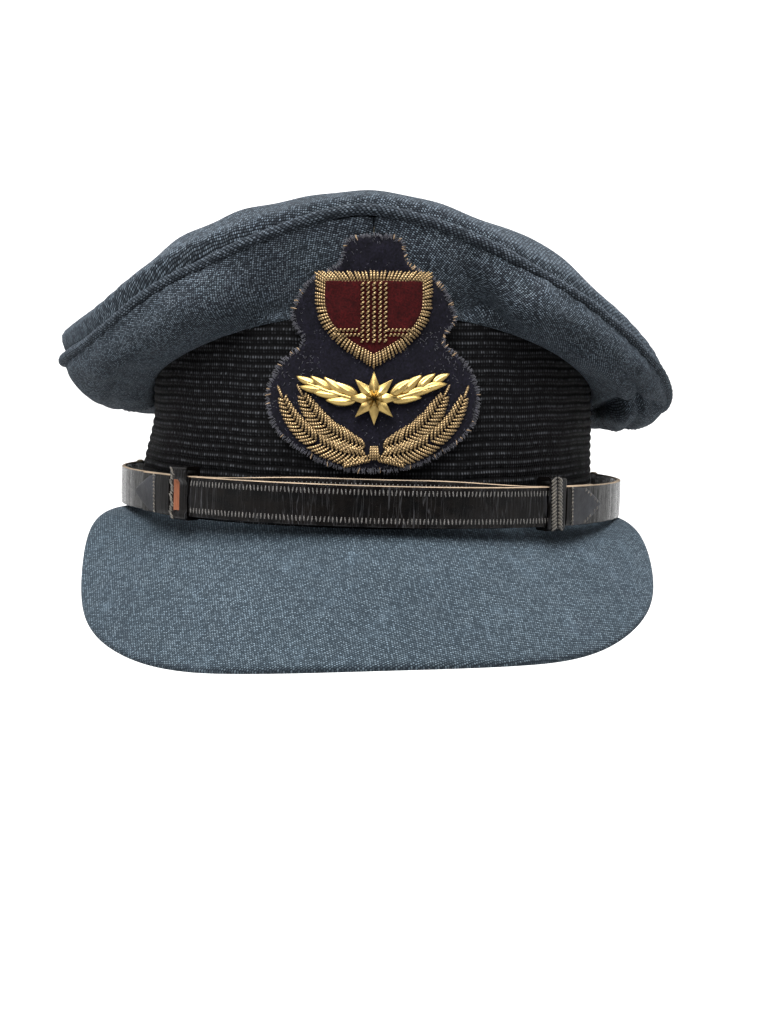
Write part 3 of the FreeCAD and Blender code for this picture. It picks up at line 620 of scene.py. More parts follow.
def thread_material(name, dark, light):
    s = Shader(name, 0.8, Sheen_Weight=0.2)
    along, round_it = s.separate(s.uv())
    plies = s.wave(s.math("ADD", s.math("MULTIPLY", along, MM), s.math("MULTIPLY", round_it, 0.5 * MM)), 0.5)
    s.colour(s.mix(s.math("MULTIPLY", plies, s.remap(s.noise(s.place(), 700.0), 0.3, 0.7)), dark, light))
    s.bump(plies, 0.5, 0.1)
    return s.material


CLOTH_DARK, CLOTH_LIGHT = (0.0030, 0.0042, 0.0060), (0.118, 0.155, 0.194)
TWILL = cloth_material("twill_crown", 0.86, 38.0, CLOTH_DARK, CLOTH_LIGHT, 0.93)
TWILL_WELT = cloth_material("twill_welt", 1.25, 62.0, CLOTH_DARK, (0.085, 0.11, 0.138), 0.88)
TWILL_PEAK = cloth_material(
    "twill_peak", 0.85, 32.0, (0.011, 0.0165, 0.022), (0.118, 0.163, 0.203), 0.85, 0.1
)
MOHAIR = ribbing_material()
TAN = leather_material("sweatband_leather", (0.20, 0.085, 0.032), (0.10, 0.04, 0.016), 0.5, 0.15)
BLACK_HIDE = leather_material(
    "peak_underside_leather", (0.012, 0.011, 0.011), (0.03, 0.026, 0.024), 0.7, 0.0, gloss=0.1
)
RAW_EDGE = leather_material("raw_edge_leather", (0.27, 0.20, 0.135), (0.10, 0.075, 0.05), 0.8, 0.0)
PATENT = patent_material()
SATIN = satin_material("lining_satin_dark", (0.012, 0.014, 0.022), (0.05, 0.055, 0.08))
FILM = film_material()
FELT = fibre_material("patch_felt_navy", (0.0012, 0.0012, 0.0022), (0.010, 0.009, 0.017), 420.0, 0.08)
VELVET = fibre_material("velvet_red", (0.010, 0.0006, 0.0008), (0.058, 0.0034, 0.004), 500.0, 0.08)
BULLION = bullion_material("bullion_gold", (0.06, 0.038, 0.017), (0.36, 0.25, 0.125), 0.8)
GILT = metal_material("gilt_brass", (0.41, 0.295, 0.105), (0.23, 0.155, 0.058), 0.36)
STEEL = metal_material("steel_bright", (0.55, 0.55, 0.56), (0.35, 0.34, 0.33), 0.35)
BRASS = metal_material("brass_plain", (0.6, 0.44, 0.2), (0.35, 0.24, 0.1), 0.4)
BOARD = fibre_material("stiff_board", (0.22, 0.17, 0.11), (0.36, 0.3, 0.21), 300.0, 0.1)
CANVAS = cloth_material("stiff_canvas", 0.9, 0.0, (0.22, 0.19, 0.13), (0.55, 0.5, 0.38), 0.4)
DARK_THREAD = thread_material("thread_dark", (0.008, 0.006, 0.005), (0.05, 0.038, 0.03))
CORD_THREAD = thread_material("thread_cord", (0.012, 0.010, 0.008), (0.16, 0.138, 0.104))
# Painted highlight: the strap's edge ticks are painted light grey-brown for the highlights that the pressed
# stitches catch.
EDGE_THREAD_PAINTED_HIGHLIGHT = thread_material("thread_edge_painted_highlight", (0.02, 0.018, 0.016), (0.17, 0.16, 0.15))
RAW_STRIP = leather_material("raw_strip_leather", (0.20, 0.062, 0.022), (0.09, 0.026, 0.010), 0.7, 0.0)
TAB_HIDE = leather_material("keeper_tab_leather", (0.005, 0.0055, 0.0075), (0.018, 0.019, 0.024), 0.6, 0.05)
NAVY_THREAD = thread_material("thread_navy", (0.003, 0.003, 0.006), (0.035, 0.035, 0.055))
TAN_THREAD = thread_material("thread_tan", (0.12, 0.07, 0.03), (0.42, 0.3, 0.18))

# ---------------------------------------------------------------- crown and quarters


def piece(obj, body, slot, *nodes):
    """Every piece rides on a body and stands for its CAD nodes, which are hidden; slot is not used."""
    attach(obj, body)
    if nodes:
        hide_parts(*nodes)
    return obj


def make_crown():
    across, along, reach = unit_disc(181)
    reach_scale = 0.992
    x, y = across * reach_scale, along * reach_scale
    top = crown_surface(x, y)
    step = 1e-3
    slope_x = crown_surface(x + step, y) - crown_surface(x - step, y)
    slope_y = crown_surface(x, y + step) - crown_surface(x, y - step)
    normal = np.cross(slope_x, slope_y)
    normal /= np.linalg.norm(normal, axis=-1, keepdims=True)
    angle = np.arctan2(across, -along)
    soft = 0.9 * wander(top, 75.0, 1) + 0.35 * wander(top, 24.0, 2)
    pucker = 0.18 * np.sin(angle * 96.0 + 2.0 * np.sin(angle * 9.0)) * hump(reach, 0.965, 0.03)
    ease = 0.6 * hump(reach, 0.93, 0.05) * (0.5 + 0.5 * np.sin(angle * 5.0 + 1.0))
    soft = soft * smooth((1 - reach) / 0.12) + pucker - ease * 0.6
    forward = 0.5 + 0.5 * np.cos(angle)
    leftward = smooth((-np.sin(angle) - 0.1) / 0.5)
    rolled = np.sqrt(1.0 - np.clip((reach - 0.93) / 0.07, 0.0, 1.0) ** 2)
    puffed = (1.7 + 1.0 * forward + 2.4 * leftward) * smooth((reach - 0.7) / 0.22) * rolled
    turned_in = 1.3 * smooth((reach - 0.97) / 0.03)
    bulge = (0.7 + 1.5 * leftward) * hump(reach, 0.965, 0.022)
    outward = even_out(angle) * bulge[..., None]
    outer = top + normal * (soft + puffed - turned_in)[..., None] + outward
    inner = outer - normal * CLOTH * 0.8
    uv = np.stack([top[..., 0] + 60, top[..., 1] + 20], -1)
    crown = shell("crown_cloth", outer, inner, uv, [TWILL])
    piece(crown, "cap", "cap_cloth", "crown_top")


def quarter_relief(points, angle, travel):
    """How far the worn quarters stand out from their even surface."""
    x, z = points[..., 0], points[..., 2]
    free = smooth(travel / 0.12) * smooth((0.96 - travel) / 0.15)
    relief = 0.7 * wander(points, 55.0, 5) + 0.28 * wander(points, 20.0, 6)
    relief = relief * free
    down = np.clip((84.0 - z) / 24.0, 0.0, 1.0)
    right_dent = -5.5 * hump(x, 31.0 + 9.0 * down, 4.5 + 3.0 * down) * hump(z, 72.0, 13.0)
    roll = 2.5 * hump(x, 52.0, 7.0) * hump(z, 72.0, 10.0)
    left_dent = -1.6 * hump(x, -34.0, 7.0) * hump(z, 72.0, 12.0)
    degrees = np.degrees(angle)
    crease_height = 0.44 + 0.1 * np.sin(angle * 2.0)
    strength = smooth((degrees - 38.0) / 25.0) * smooth((128.0 - degrees) / 30.0)
    crease = -2.2 * strength * hump(travel, crease_height, 0.05)
    crease = crease + 1.2 * strength * hump(travel, crease_height - 0.14, 0.08)
    left = smooth((-degrees - 40.0) / 25.0) * smooth((135.0 + degrees) / 30.0)
    fold = left * (-1.2 * hump(travel, 0.36, 0.07) - 2.6 * hump(travel, 0.3, 0.2))
    pinch_at = smooth((x - 82.0) / 8.0) * smooth((112.0 - x) / 5.0) * smooth((100.0 - degrees) / 15.0)
    pinch = pinch_at * (1.0 * hump(z, 38.2, 2.0) - 3.6 * hump(z, 42.5, 1.7))
    behind = smooth((np.abs(degrees) - 110.0) / 30.0)
    back_folds = 0.9 * np.sin(angle * 11.0) * behind * hump(travel, 0.35, 0.28)
    folds = right_dent + left_dent + roll + crease + fold + pinch + back_folds
    return relief + folds * smooth(travel / 0.1)


def make_quarters():
    spans = {
        "front_left": (-89.9, -0.1, 0.172, 0.050, 0.0064),
        "front_right": (0.1, 89.9, 0.172, 0.050, 0.0064),
        "rear_right": (90.1, 179.9, 0.172, 0.045, 0.0064),
        "rear_left": (180.1, 269.9, 0.172, 0.045, 0.0064),
    }
    for name, (start, end, wide, long, area) in spans.items():
        angles = np.radians(np.linspace(start, end, 230))
        travels = np.linspace(-0.015, 0.965, 90)
        angle, travel = np.meshgrid(angles, travels, indexing="ij")
        even = quarter_surface(angle, travel)
        even = even - even_out(angle) * (side_lean(angle) * (1.0 - smooth(travel / 0.35)))[..., None]
        out = facing_out(even, (115, 45))
        signed = (np.degrees(angle) + 180.0) % 360.0 - 180.0
        edge = np.minimum(angle - angles[0], angles[-1] - angle) * 105.0
        seam = -1.0 * np.exp(-edge / 0.9) + 0.22 * hump(edge, 2.6, 1.2)
        pucker = 0.16 * np.sin(travel * 150.0) * hump(edge, 3.0, 2.6)
        along_seam = 0.22 * np.sin(angle * 92.0) * hump(travel, 0.93, 0.05)
        tuck = -2.4 * smooth((travel - 0.945) / 0.02)
        relief = quarter_relief(even, np.radians(signed), travel) + seam + pucker + along_seam + tuck
        outer = even + out * relief[..., None]
        inner = outer - out * (CLOTH * 0.8)
        uv = length_uv(even) + np.array([37.0 * len(name), 11.0 * len(name)])
        cloth = shell(f"quarter_cloth_{name}", outer, inner, uv, [TWILL])
        piece(cloth, "cap", "cap_cloth", f"quarter_{name}")


def make_canvas():
    """The stiff canvas behind the front of the crown, which follows the dents of the cloth over it."""
    angles = np.radians(np.linspace(-17.0, 17.0, 61))
    angle, travel = np.meshgrid(angles, np.linspace(0.08, 0.86, 41), indexing="ij")
    even = quarter_surface(angle, travel)
    out = facing_out(even, (30, 20))
    relief = quarter_relief(even, angle, travel)
    outer = even + out * (relief - 2.1)[..., None]
    canvas = shell("crown_canvas", outer, outer - out * 0.7, length_uv(even), [CANVAS])
    piece(canvas, "cap", "canvas", "front_canvas")


def make_welt():
    """The corded welt between crown and quarters, its cover cut on the cross."""
    angles = np.linspace(0, TURN, 721)[:-1]
    middle = seam_point(angles)
    middle = middle + np.stack([np.zeros(720), np.zeros(720), 0.25 * wander(middle, 30.0, 11)], -1)
    ahead = np.roll(middle, -1, 0) - np.roll(middle, 1, 0)
    ahead /= np.linalg.norm(ahead, axis=1, keepdims=True)
    level = even_out(angles)
    up = np.cross(level, ahead)
    up *= np.sign(up[:, 2:3])
    out = np.cross(ahead, up)
    out *= np.sign((out * level).sum(1, keepdims=True))
    sides = 20
    turn = np.linspace(0, TURN, sides, endpoint=False)
    radius = 1.85 + 0.09 * np.sin(angles * 150.0)[:, None]
    radius = radius + 0.05 * np.sin(angles[:, None] * 260.0 + turn[None] * 2.0)
    points = middle[:, None] + radius[..., None] * (
        out[:, None] * np.cos(turn)[None, :, None] + up[:, None] * np.sin(turn)[None, :, None]
    )
    n = len(angles)
    length = np.concatenate([[0], np.cumsum(np.linalg.norm(np.roll(middle, -1, 0) - middle, axis=1))])
    faces, uvs = [], []
    for i in range(n):
        j = (i + 1) % n
        for s in range(sides):
            t = (s + 1) % sides
            faces.append([i * sides + s, j * sides + s, j * sides + t, i * sides + t])
            uvs += [
                (length[i], s * 0.58),
                (length[i + 1], s * 0.58),
                (length[i + 1], (s + 1) * 0.58),
                (length[i], (s + 1) * 0.58),
            ]
    welt = make_object("crown_welt", points.reshape(-1, 3), faces, np.array(uvs) * MM, [TWILL_WELT])
    piece(welt, "cap", "cap_cloth", "crown_piping")


# ---------------------------------------------------------------- band


def make_band():
    angles = np.linspace(-math.pi, math.pi, 561)[:-1]
    rows = 141
    part = np.linspace(0, 1, rows)
    angle, share = np.meshgrid(angles, part, indexing="ij")
    bottom, top = rim_height(angle) + 0.3, band_top(angle) + 1.6
    height = bottom + (top - bottom) * share
    level = height - bottom
    rib_row = level + 0.115 * np.sin(angle * 23.0)
    rib = np.abs(np.sin(math.pi * rib_row / RIB_PITCH)) ** 0.6
    even = band_point(angle, 0.45, height)
    rib_depth = 0.62 * rib + 0.05 * np.sin(angle * 560.0) + 0.12 * wander(even, 14.0, 21)
    rib_depth = rib_depth * smooth(share / 0.02)
    lean = side_lean(angle) * smooth((level - 12.0) / 24.0)
    outer = band_point(angle, 0.45 - rib_depth + lean, height)
    inner = band_point(angle, 1.5 + lean, height)
    around = length_uv(even, True)
    uv = np.stack([around[..., 0], np.vstack([rib_row, rib_row[:1]])], -1)
    band = shell("mohair_ribbing", outer, inner, uv, [MOHAIR], round_u=True, sharp=60.0)
    piece(band, "cap", "mohair", "mohair_band")

    board_rows = slice(0, rows, 6)
    board_bottom = bottom - 2.2 * smooth((np.cos(angle) - 0.2) / 0.3)
    board_height = (board_bottom + (top - 2.4 - board_bottom) * share)[::2, board_rows]
    board_lean = lean[::2, board_rows]
    face = band_point(angle[::2, board_rows], 1.95 + board_lean, board_height)
    back = band_point(angle[::2, board_rows], 3.6 + board_lean, board_height)
    board = shell("band_board", face, back, length_uv(face, True), [BOARD], round_u=True)
    piece(board, "cap", "board", "band_stiffener")

    inset = 6.5
    part = np.linspace(0, 1, 40)
    angle, share = np.meshgrid(angles[::2], part, indexing="ij")
    low, high = rim_height(angle) + 0.4, rim_height(angle) + 32.7 + 0.4 * np.sin(angle * 14.0)
    height = low + (high - low) * share
    even = band_point(angle, inset + 0.25, height)
    waves = (0.35 * wander(even, 40.0, 31) + 0.12 * wander(even, 12.0, 32)) * smooth(share / 0.15)
    bead = 0.25 * hump(height - low, 4.0, 0.7)
    outer = band_point(angle, inset + 0.25 + 0.05 * waves, height)
    inner = band_point(angle, inset + 1.15 + 0.3 * waves + 0.3 * share - bead, height)
    uv = length_uv(even, True)
    leather = shell("sweatband_leather", outer, inner, uv, [TAN], round_u=True)
    piece(leather, "cap", "tan_leather", "sweatband")

    seam = Bundle()
    for at in np.linspace(-math.pi, math.pi, 190, endpoint=False):
        span = np.linspace(at, at + 0.021, 4)
        path = band_point(span, inset + 1.28, rim_height(span) + 2.4)
        path[0] -= (path[1] - path[0]) * 0.2
        seam.tube(path, 0.3, 5, 0.7, out=-xyz(np.sin(at), -np.cos(at), 0.0))
    for step in range(9):
        height = float(rim_height(np.array(math.pi))) + 4.0 + 3.1 * step
        for side in (-1, 1):
            span = math.pi + side * np.linspace(-0.028, 0.03, 5)
            path = band_point(span, inset + 1.75, height + np.linspace(0, 2.4, 5))
            seam.tube(path, 0.34, 5, 0.7, out=(0.0, -1.0, 0.0))
    piece(seam.build("sweatband_stitching", TAN_THREAD), "cap", "tan_leather")


def make_lining():
    angles = np.linspace(-math.pi, math.pi, 481)[:-1]
    part = np.linspace(0, 1, 50)
    angle, share = np.meshgrid(angles, part, indexing="ij")
    inset = 4.9
    lean = side_lean(angle)
    low = band_point(angle, inset + 0.5 * lean, 28.0)
    high = xyz(56.0 * np.sin(angle), -70.0 * np.cos(angle), 67.0)
    wall = band_point(angle, inset + lean, 60.0)
    shoulder = xyz(71.0 * np.sin(angle), -89.0 * np.cos(angle), 67.0) - even_out(angle) * lean[..., None]
    t = share[..., None]
    rest = 1 - t
    even = low * rest**3 + wall * 3 * rest**2 * t + shoulder * 3 * rest * t**2 + high * t**3
    out = facing_out(even, (240, 20), (0.0, 0.0, 40.0))
    gathers = 0.5 * np.abs(np.sin(angle * 24.0 + 0.8 * np.sin(angle * 7.0))) + 0.25 * wander(even, 18.0, 41)
    gathers = gathers * smooth((share - 0.2) / 0.3) * smooth((1.0 - share) / 0.08)
    outer = even - out * gathers[..., None]
    inner = outer - out * 0.55
    uv = length_uv(even, True)
    drum = shell("lining_satin_side", outer, inner, uv, [SATIN], round_u=True)
    piece(drum, "cap", "lining_satin", "lining_side")

    across, along, reach = unit_disc(71)

    def top_panel(scale, depth):
        x, y = LINING_HALF_WIDTH * across * scale, LINING_HALF_LENGTH * along * scale
        rise = LINING_RISE * (1 - (reach * scale) ** 2)
        return xyz(x, y, LINING_TOP + rise - depth)

    even = top_panel(1.0, 0.0)
    soft = 0.4 * wander(even, 26.0, 51) * smooth((1 - reach) / 0.2)
    upper = even + soft[..., None] * np.array([0.0, 0.0, 0.5])
    lower = upper - np.array([0.0, 0.0, 0.6])
    uv = even[..., :2] + 80.0
    panel = shell("lining_satin_top", upper, lower, uv, [SATIN])
    piece(panel, "cap", "lining_satin", "lining_top")

    upper = top_panel(0.62, 1.35)
    film = shell("sweat_shield_film", upper, upper - np.array([0.0, 0.0, 0.3]), uv, [FILM])
    piece(film, "cap", "clear_film", "sweat_shield")

    seams = Bundle()
    for at in np.linspace(0, TURN, 120, endpoint=False):
        span = np.linspace(at, at + 0.036, 4)
        height = LINING_TOP + LINING_RISE * (1 - 0.36) - 1.75
        path = xyz(LINING_HALF_WIDTH * 0.6 * np.sin(span), -LINING_HALF_LENGTH * 0.6 * np.cos(span), height)
        seams.tube(path, 0.28, 5, 0.7, out=(0.0, 0.0, -1.0))
    cord = np.linspace(0, TURN, 200)
    path = xyz(55.6 * np.sin(cord), -69.6 * np.cos(cord), 66.4 + 0.0 * cord)
    seams.tube(path, 0.9, 10, 1.0, out=(0.0, 0.0, -1.0), taper=1.0)
    piece(seams.build("lining_seams", NAVY_THREAD), "cap", "lining_satin")


# ---------------------------------------------------------------- peak


def spline_through(points, count):
    """Evenly spaced points on a natural cubic through the given ones."""
    points = np.asarray(points, dtype=float)
    knots = np.concatenate([[0], np.cumsum(np.linalg.norm(np.diff(points, axis=0), axis=1))])
    gaps = np.diff(knots)
    n = len(points)
    system, right = np.zeros((n, n)), np.zeros((n, 3))
    system[0, 0] = system[-1, -1] = 1.0
    for i in range(1, n - 1):
        system[i, i - 1 : i + 2] = gaps[i - 1], 2 * (gaps[i - 1] + gaps[i]), gaps[i]
        right[i] = 6 * ((points[i + 1] - points[i]) / gaps[i] - (points[i] - points[i - 1]) / gaps[i - 1])
    bend = np.linalg.solve(system, right)

    def value(at):
        i = np.clip(np.searchsorted(knots, at) - 1, 0, n - 2)
        h, a, b = gaps[i][:, None], (knots[i + 1] - at)[:, None], (at - knots[i])[:, None]
        return (
            bend[i] * a**3 / (6 * h)
            + bend[i + 1] * b**3 / (6 * h)
            + (points[i] / h - bend[i] * h / 6) * a
            + (points[i + 1] / h - bend[i + 1] * h / 6) * b
        )

    fine = value(np.linspace(0, knots[-1], 4000))
    run = np.concatenate([[0], np.cumsum(np.linalg.norm(np.diff(fine, axis=0), axis=1))])
    wanted = np.interp(np.asarray(count) * run[-1], run, np.linspace(0, knots[-1], 4000))
    return value(wanted)


def peak_edge(along):
    points = []
    for x, y, z in [(-x, y, z) for x, y, z in PEAK_EDGE] + PEAK_EDGE[-2::-1]:
        drop = float(smooth(-z / 30.0))
        tilt = -1.7 * (1 - drop) + 2.0 * drop
        points.append((x, y, z + tilt * x / BAND_HALF_WIDTH))
    return spline_through(points, along)


def peak_surface(sides, travel, covered=False):
    """Upper face: side runs -1..1 round the head, travel 0..1 from the band to the edge.
    The cloth cover is drawn up against the band."""
    edge = peak_edge(np.clip((sides + 1) / 2, 0, 1))[:, None]
    edge = edge - 1.7 * smooth((-edge[..., :1] - 60.0) / 35.0) * np.array([1.0, 0.0, 0.0])
    angle = PEAK_ROOT * sides
    if covered:
        drawn_up = 0.3 + 2.2 * np.maximum(np.cos(1.5 * angle), 0.0) ** 1.2
        root = band_point(angle, -0.75, rim_height(angle) + drawn_up)[:, None]
    else:
        root = band_point(angle, 1.2, rim_height(angle) + 0.15)[:, None]
    bulge = (4.5 * (1 - 0.6 * sides**4))[:, None]
    out = xyz(np.sin(angle) * 0.7, -np.cos(angle) * 0.7, 0.7)[:, None]
    crest = (root + edge) * 0.5 + out * bulge[..., None]
    t = travel[None, :, None]
    rest = 1 - t
    return root * rest**2 + crest * 2 * rest * t + edge * t**2


def peak_uv(points):
    """The peak laid flat: across the cap, and down its slope."""
    return np.stack([points[..., 0] + 200.0, -0.68 * points[..., 1] - 0.74 * points[..., 2]], -1)


def make_peak():
    sides = np.linspace(-0.99, 0.99, 321)
    travel = np.linspace(0.0, 1.0, 91)
    even = peak_surface(sides, travel, covered=True)
    up = normals(even)
    if up[160, 40, 2] < 0:
        up = -up
    span = np.linalg.norm(even[:, -1] - even[:, 0], axis=1)
    radius = 1.95
    pulled = np.clip(radius / np.maximum(span, 6.0), 0, 0.4)
    shrunk = np.stack([np.linspace(0, 1 - p, 91) for p in pulled])
    even, up = along_rows(even, shrunk * 90), along_rows(up, shrunk * 90)
    soft = 0.3 * wander(even, 48.0, 61) + 0.1 * wander(even, 15.0, 62)
    soft = soft * np.sin(travel * math.pi)[None]
    top = even + up * soft[..., None]
    outward = even[:, -1] - even[:, -4]
    outward /= np.linalg.norm(outward, axis=1, keepdims=True)
    edge_up = up[:, -1] - (up[:, -1] * outward).sum(1, keepdims=True) * outward
    edge_up /= np.linalg.norm(edge_up, axis=1, keepdims=True)
    centre = even[:, -1] - edge_up * radius
    tuck = np.clip(span - 3.0, 0.6, 4.6)[:, None]

    def wrapped(around):
        """The cloth's turn round the edge at this radius, and its tail under the board."""
        turns = np.linspace(0, math.pi, 14)[1:]
        arc = [centre + around * (edge_up * math.cos(a) + outward * math.sin(a)) for a in turns]
        return np.stack(arc + [arc[-1] - outward * tuck * part for part in (0.22, 0.48, 0.76, 1.0)], 1)

    thickness = 0.85
    outer = np.concatenate([top, wrapped(radius)], 1)
    inner = np.concatenate([top - up * thickness, wrapped(radius - thickness)], 1)
    cover = shell("peak_cloth", outer, inner, peak_uv(outer), [TWILL_PEAK])
    piece(cover, "cap", "cap_cloth", "peak_cover")

    depth = 3.25
    sides_in = np.linspace(-0.975, 0.975, 241)
    base = peak_surface(sides_in, np.linspace(0.01, 1.0, 61))
    up_in = normals(base)
    if up_in[120, 30, 2] < 0:
        up_in = -up_in
    span = np.linalg.norm(base[:, -1] - base[:, 0], axis=1)
    reach = np.stack([np.linspace(0, 60 * (1 - min(4.4 / max(s, 9.0), 0.5)), 61) for s in span])
    base, up_in = along_rows(base, reach), along_rows(up_in, reach)
    ridges = 0.06 * wander(base, 9.0, 63)
    groove = 0.25 * hump(np.linspace(0, 1, 61), 0.94, 0.012)[None]
    upper = base - up_in * depth
    lower = base - up_in * (depth + 0.85 + ridges - groove)[..., None]
    under = shell("peak_underside", upper, lower, peak_uv(lower), [BLACK_HIDE])
    piece(under, "cap", "dark_leather", "peak_lining")

    sewing = Bundle()
    edge_row = base[:, 57] - up_in[:, 57] * (depth + 0.95)
    run = np.concatenate([[0], np.cumsum(np.linalg.norm(np.diff(edge_row, axis=0), axis=1))])
    for at in np.arange(2.0, run[-1] - 3.0, 2.9):
        path = np.stack([np.interp(np.linspace(at, at + 2.1, 4), run, edge_row[:, k]) for k in range(3)], -1)
        sewing.tube(path, 0.26, 5, 0.7, out=(0.0, -0.3, -1.0))
    piece(sewing.build("peak_stitching", DARK_THREAD), "cap", "dark_leather")


# ---------------------------------------------------------------- chin strap


def strap_run(side, button_angle, overlap, radius, lift):
    """Centre path of one strap as strap angles and a straight tail: (point, outward, up) per station."""
    stations = []
    for angle in np.radians(np.arange(-overlap, button_angle + 0.01, 0.75)):
        a = angle * side
        base = np.array([radius * math.sin(a), -radius * math.cos(a), 0.0])
        out = np.array([math.sin(a), -math.cos(a), 0.0])
        ahead = np.array([math.cos(a), math.sin(a), 0.0]) * side
        stations.append((base, out, lift(math.degrees(a)), ahead))
    base, out, raised, ahead = stations[-1]
    for step in np.arange(1.0, 17.01, 1.0):
        stations.append((base + ahead * step, out, raised, ahead))
    return stations


def make_strap(name, node, side, button_angle, radius, thickness, lift, tail):
    """A lacquered strap with rounded edges and a raw tan edge that shows along its upper side and at its ends.
    """
    stations = strap_run(side, button_angle, 56.5, radius, lift)
    half = STRAP_WIDTH / 2
    corner = 0.45
    section = []
    for across in np.linspace(-half + corner, half - corner, 15):
        section.append((thickness - 0.10 * (across / half) ** 2, across, 0))
    for turn in np.linspace(math.pi / 2, 0, 4)[1:]:
        face = thickness - corner + corner * math.sin(turn)
        section.append((face, half - corner + corner * math.cos(turn), 1))
    section.append((corner * 0.6, half, 1))
    section.append((0.0, half - corner, 1))
    for across in np.linspace(half - corner, -half + corner, 9)[1:]:
        section.append((0.0, across, 2))
    section.append((corner * 0.6, -half, 1))
    for turn in np.linspace(0, math.pi / 2, 4)[:-1]:
        face = thickness - corner + corner * math.sin(turn)
        section.append((face, -half + corner - corner * math.cos(turn), 1))
    count = len(section)
    vertices, faces, uvs, indices = [], [], [], []
    rng = np.random.default_rng(71 + side)
    run = 0.0
    runs = []
    last = None
    for k, (base, out, raised, ahead) in enumerate(stations):
        if last is not None:
            run += float(np.linalg.norm(base - last))
        last = base
        runs.append(run)
        ripple = 0.05 * math.sin(run * 1.7) + 0.04 * math.sin(run * 0.63 + 1.0)
        for radial, across, kind in section:
            depth = radial + (ripple if kind == 0 else 0.0)
            local = base + out * depth
            squeeze = 1.0
            if tail and k > len(stations) - 8:
                squeeze = 1.0 - 0.012 * (k - len(stations) + 8)
            vertices.append(strap_place(local[0], local[1], half + across * squeeze + raised))
    for k in range(len(stations) - 1):
        for s in range(count):
            t = (s + 1) % count
            faces.append([k * count + s, (k + 1) * count + s, (k + 1) * count + t, k * count + t])
            u0, u1 = runs[k], runs[k + 1]
            v0, v1 = section[s][1] + half, section[t][1] + half
            uvs += [(u0, v0), (u1, v0), (u1, v1), (u0, v1)]
            kind = int(section[s][2] == 1 and section[t][2] == 1 and section[s][1] > 0)
            indices.append(kind)
    for row, order in ((0, 1), (len(stations) - 1, -1)):
        faces.append([row * count + s for s in range(count)][::order])
        uvs += [(runs[row], 1.0)] * count
        indices.append(1)
    strap = make_object(name, vertices, faces, np.array(uvs) * MM, [PATENT, RAW_EDGE], indices, 50.0)
    piece(strap, "cap", "patent_leather", node)

    # The ticks' light colour is painted highlight on the pressed stitches.
    ticks = Bundle()
    for k_run in np.arange(1.0, run - 1.0, 1.3):
        base = np.array([np.interp(k_run, runs, [s[0][k] for s in stations]) for k in range(3)])
        out = np.array([np.interp(k_run, runs, [s[1][k] for s in stations]) for k in range(3)])
        if abs(math.atan2(out[0], -out[1])) > TICKED:
            continue
        raised = float(np.interp(k_run, runs, [s[2] for s in stations]))
        ahead = np.cross(out, (0.0, 0.0, 1.0))
        for row in (-1, 1):
            across = half + row * (half - 2.2)
            lean = 0.22 * rng.uniform(-1, 1)
            points = []
            for rise in (-0.85, 0.0, 0.85):
                local = base + out * (thickness - 0.02) + ahead * lean * rise
                points.append(strap_place(local[0], local[1], across + rise + raised))
            world_out = strap_place(*(out * 10)) - strap_place(0.0, 0.0, 0.0)
            ticks.tube(points, 0.26, 5, 0.75, out=world_out / np.linalg.norm(world_out))
    piece(ticks.build(name + "_edge_ticks", EDGE_THREAD_PAINTED_HIGHLIGHT), "cap", "patent_leather")


def rear_lift(degrees):
    """How far the rear strap rises towards the middle of the front."""
    return 1.9 * float(smooth((40.0 - abs(degrees)) / 30.0))


def no_lift(degrees):
    return 0.0


def make_straps():
    make_strap("chin_strap_rear", "strap_inner", -1, 101.0, 89.95, 1.5, rear_lift, False)
    make_strap("chin_strap_front", "strap_outer", 1, 103.0, 91.85, 1.65, no_lift, True)


def rounded_loop(low_r, high_r, low_h, high_h, corner, per_corner=6):
    """A rounded rectangle in the (radius, height) plane, as a closed list of points."""
    points = []
    for centre_r, centre_h, start in (
        (high_r - corner, high_h - corner, 0.0),
        (low_r + corner, high_h - corner, 90.0),
        (low_r + corner, low_h + corner, 180.0),
        (high_r - corner, low_h + corner, 270.0),
    ):
        for a in np.radians(np.linspace(start, start + 90.0, per_corner)):
            points.append((centre_r + corner * math.cos(a), centre_h + corner * math.sin(a)))
    for part in np.linspace(0, 1, 16)[1:-1]:
        points.append((high_r, low_h + corner + (high_h - low_h - 2 * corner) * part))
    return points


